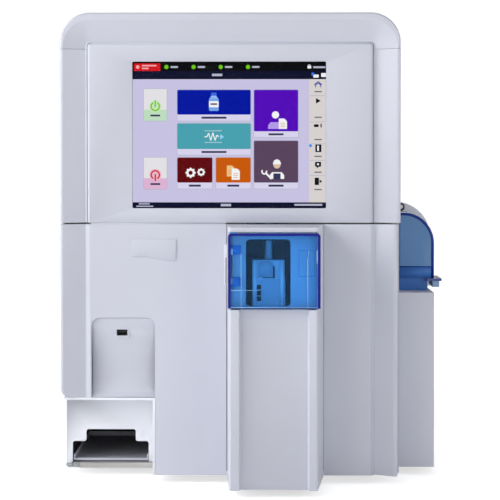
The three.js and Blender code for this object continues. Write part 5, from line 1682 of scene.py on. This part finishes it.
def make_floor(tint):
    """A wide floor that is its own backdrop: it brightens towards white with the distance."""
    mesh = bpy.data.meshes.new("floor")
    reach = 9
    corners = [(-reach, -reach, 0), (reach, -reach, 0), (reach, reach, 0), (-reach, reach, 0)]
    mesh.from_pydata(corners, [], [(0, 1, 2, 3)])
    floor = new_object("floor", mesh)
    material, tree, shader = new_material("studio floor")
    fill(shader, {
        "Base Color": (*tint, 1), "Roughness": 0.9, "Specular IOR Level": 0,
        "Emission Color": (1, 1, 1, 1),
    })
    place = node(tree, "ShaderNodeTexCoord")
    away = node(tree, "ShaderNodeVectorMath", operation="LENGTH")
    link(tree, place, "Object", away, 0)
    ramp = node(tree, "ShaderNodeMapRange", interpolation_type="SMOOTHSTEP")
    fill(ramp, FLOOR_LIFT)
    link(tree, away, "Value", ramp, "Value")
    lift = node(tree, "ShaderNodeMath", operation="MULTIPLY")
    link(tree, seen_rays(tree), 0, lift, 0)
    link(tree, ramp, "Result", lift, 1)
    link(tree, lift, 0, shader, "Emission Strength")
    mesh.materials.append(material)
    return floor


def make_lights():
    """Soft lamps round the object, and a world that lights it a little."""
    for name, (place, size, power) in LAMPS.items():
        data = bpy.data.lights.new(name, "AREA")
        data.size = size
        data.energy = power
        lamp = new_object(name, data)
        lamp.location = place
        lamp.rotation_euler = (LAMP_TARGET - Vector(place)).to_track_quat("-Z", "Y").to_euler()
    world = bpy.data.worlds.new("studio")
    bpy.context.scene.world = world
    world.use_nodes = True
    tree = world.node_tree
    background = tree.nodes["Background"]
    fill(background, {"Color": (1, 1, 1, 1)})
    strength = node(tree, "ShaderNodeMapRange")
    fill(strength, WORLD_LIGHT)
    link(tree, seen_rays(tree), 0, strength, "Value")
    link(tree, strength, "Result", background, "Strength")


STEPS = (
    ANALYZER_OT_hood,
    ANALYZER_OT_screen,
    ANALYZER_OT_left_front,
    ANALYZER_OT_bay,
    ANALYZER_OT_door,
    ANALYZER_OT_sample_cover,
    ANALYZER_OT_sampler,
    ANALYZER_OT_loader,
    ANALYZER_OT_cabinet,
    ANALYZER_OT_rear,
    ANALYZER_OT_stage,
)


class ANALYZER_PT_steps(bpy.types.Panel):
    """Lists the building steps."""

    bl_idname = "ANALYZER_PT_steps"
    bl_label = "Blood analyzer"
    bl_space_type = "VIEW_3D"
    bl_region_type = "UI"
    bl_category = "Analyzer"

    def draw(self, context):
        for step in STEPS:
            self.layout.operator(step.bl_idname)


SETTINGS = (ShellSettings, CoverSettings, MetalSettings, StageSettings, AnalyzerSettings)
CLASSES = (*SETTINGS, *STEPS, ANALYZER_PT_steps)


def register():
    for made in CLASSES:
        bpy.utils.register_class(made)
    bpy.types.Scene.analyzer = PointerProperty(type=AnalyzerSettings)


def unregister():
    del bpy.types.Scene.analyzer
    for made in reversed(CLASSES):
        bpy.utils.unregister_class(made)


def main():
    register()
    make_finishes()
    make_trees()
    for step in STEPS:
        group, name = step.bl_idname.split(".")
        getattr(getattr(bpy.ops, group), name)()


if __name__ == "__main__":
    main()
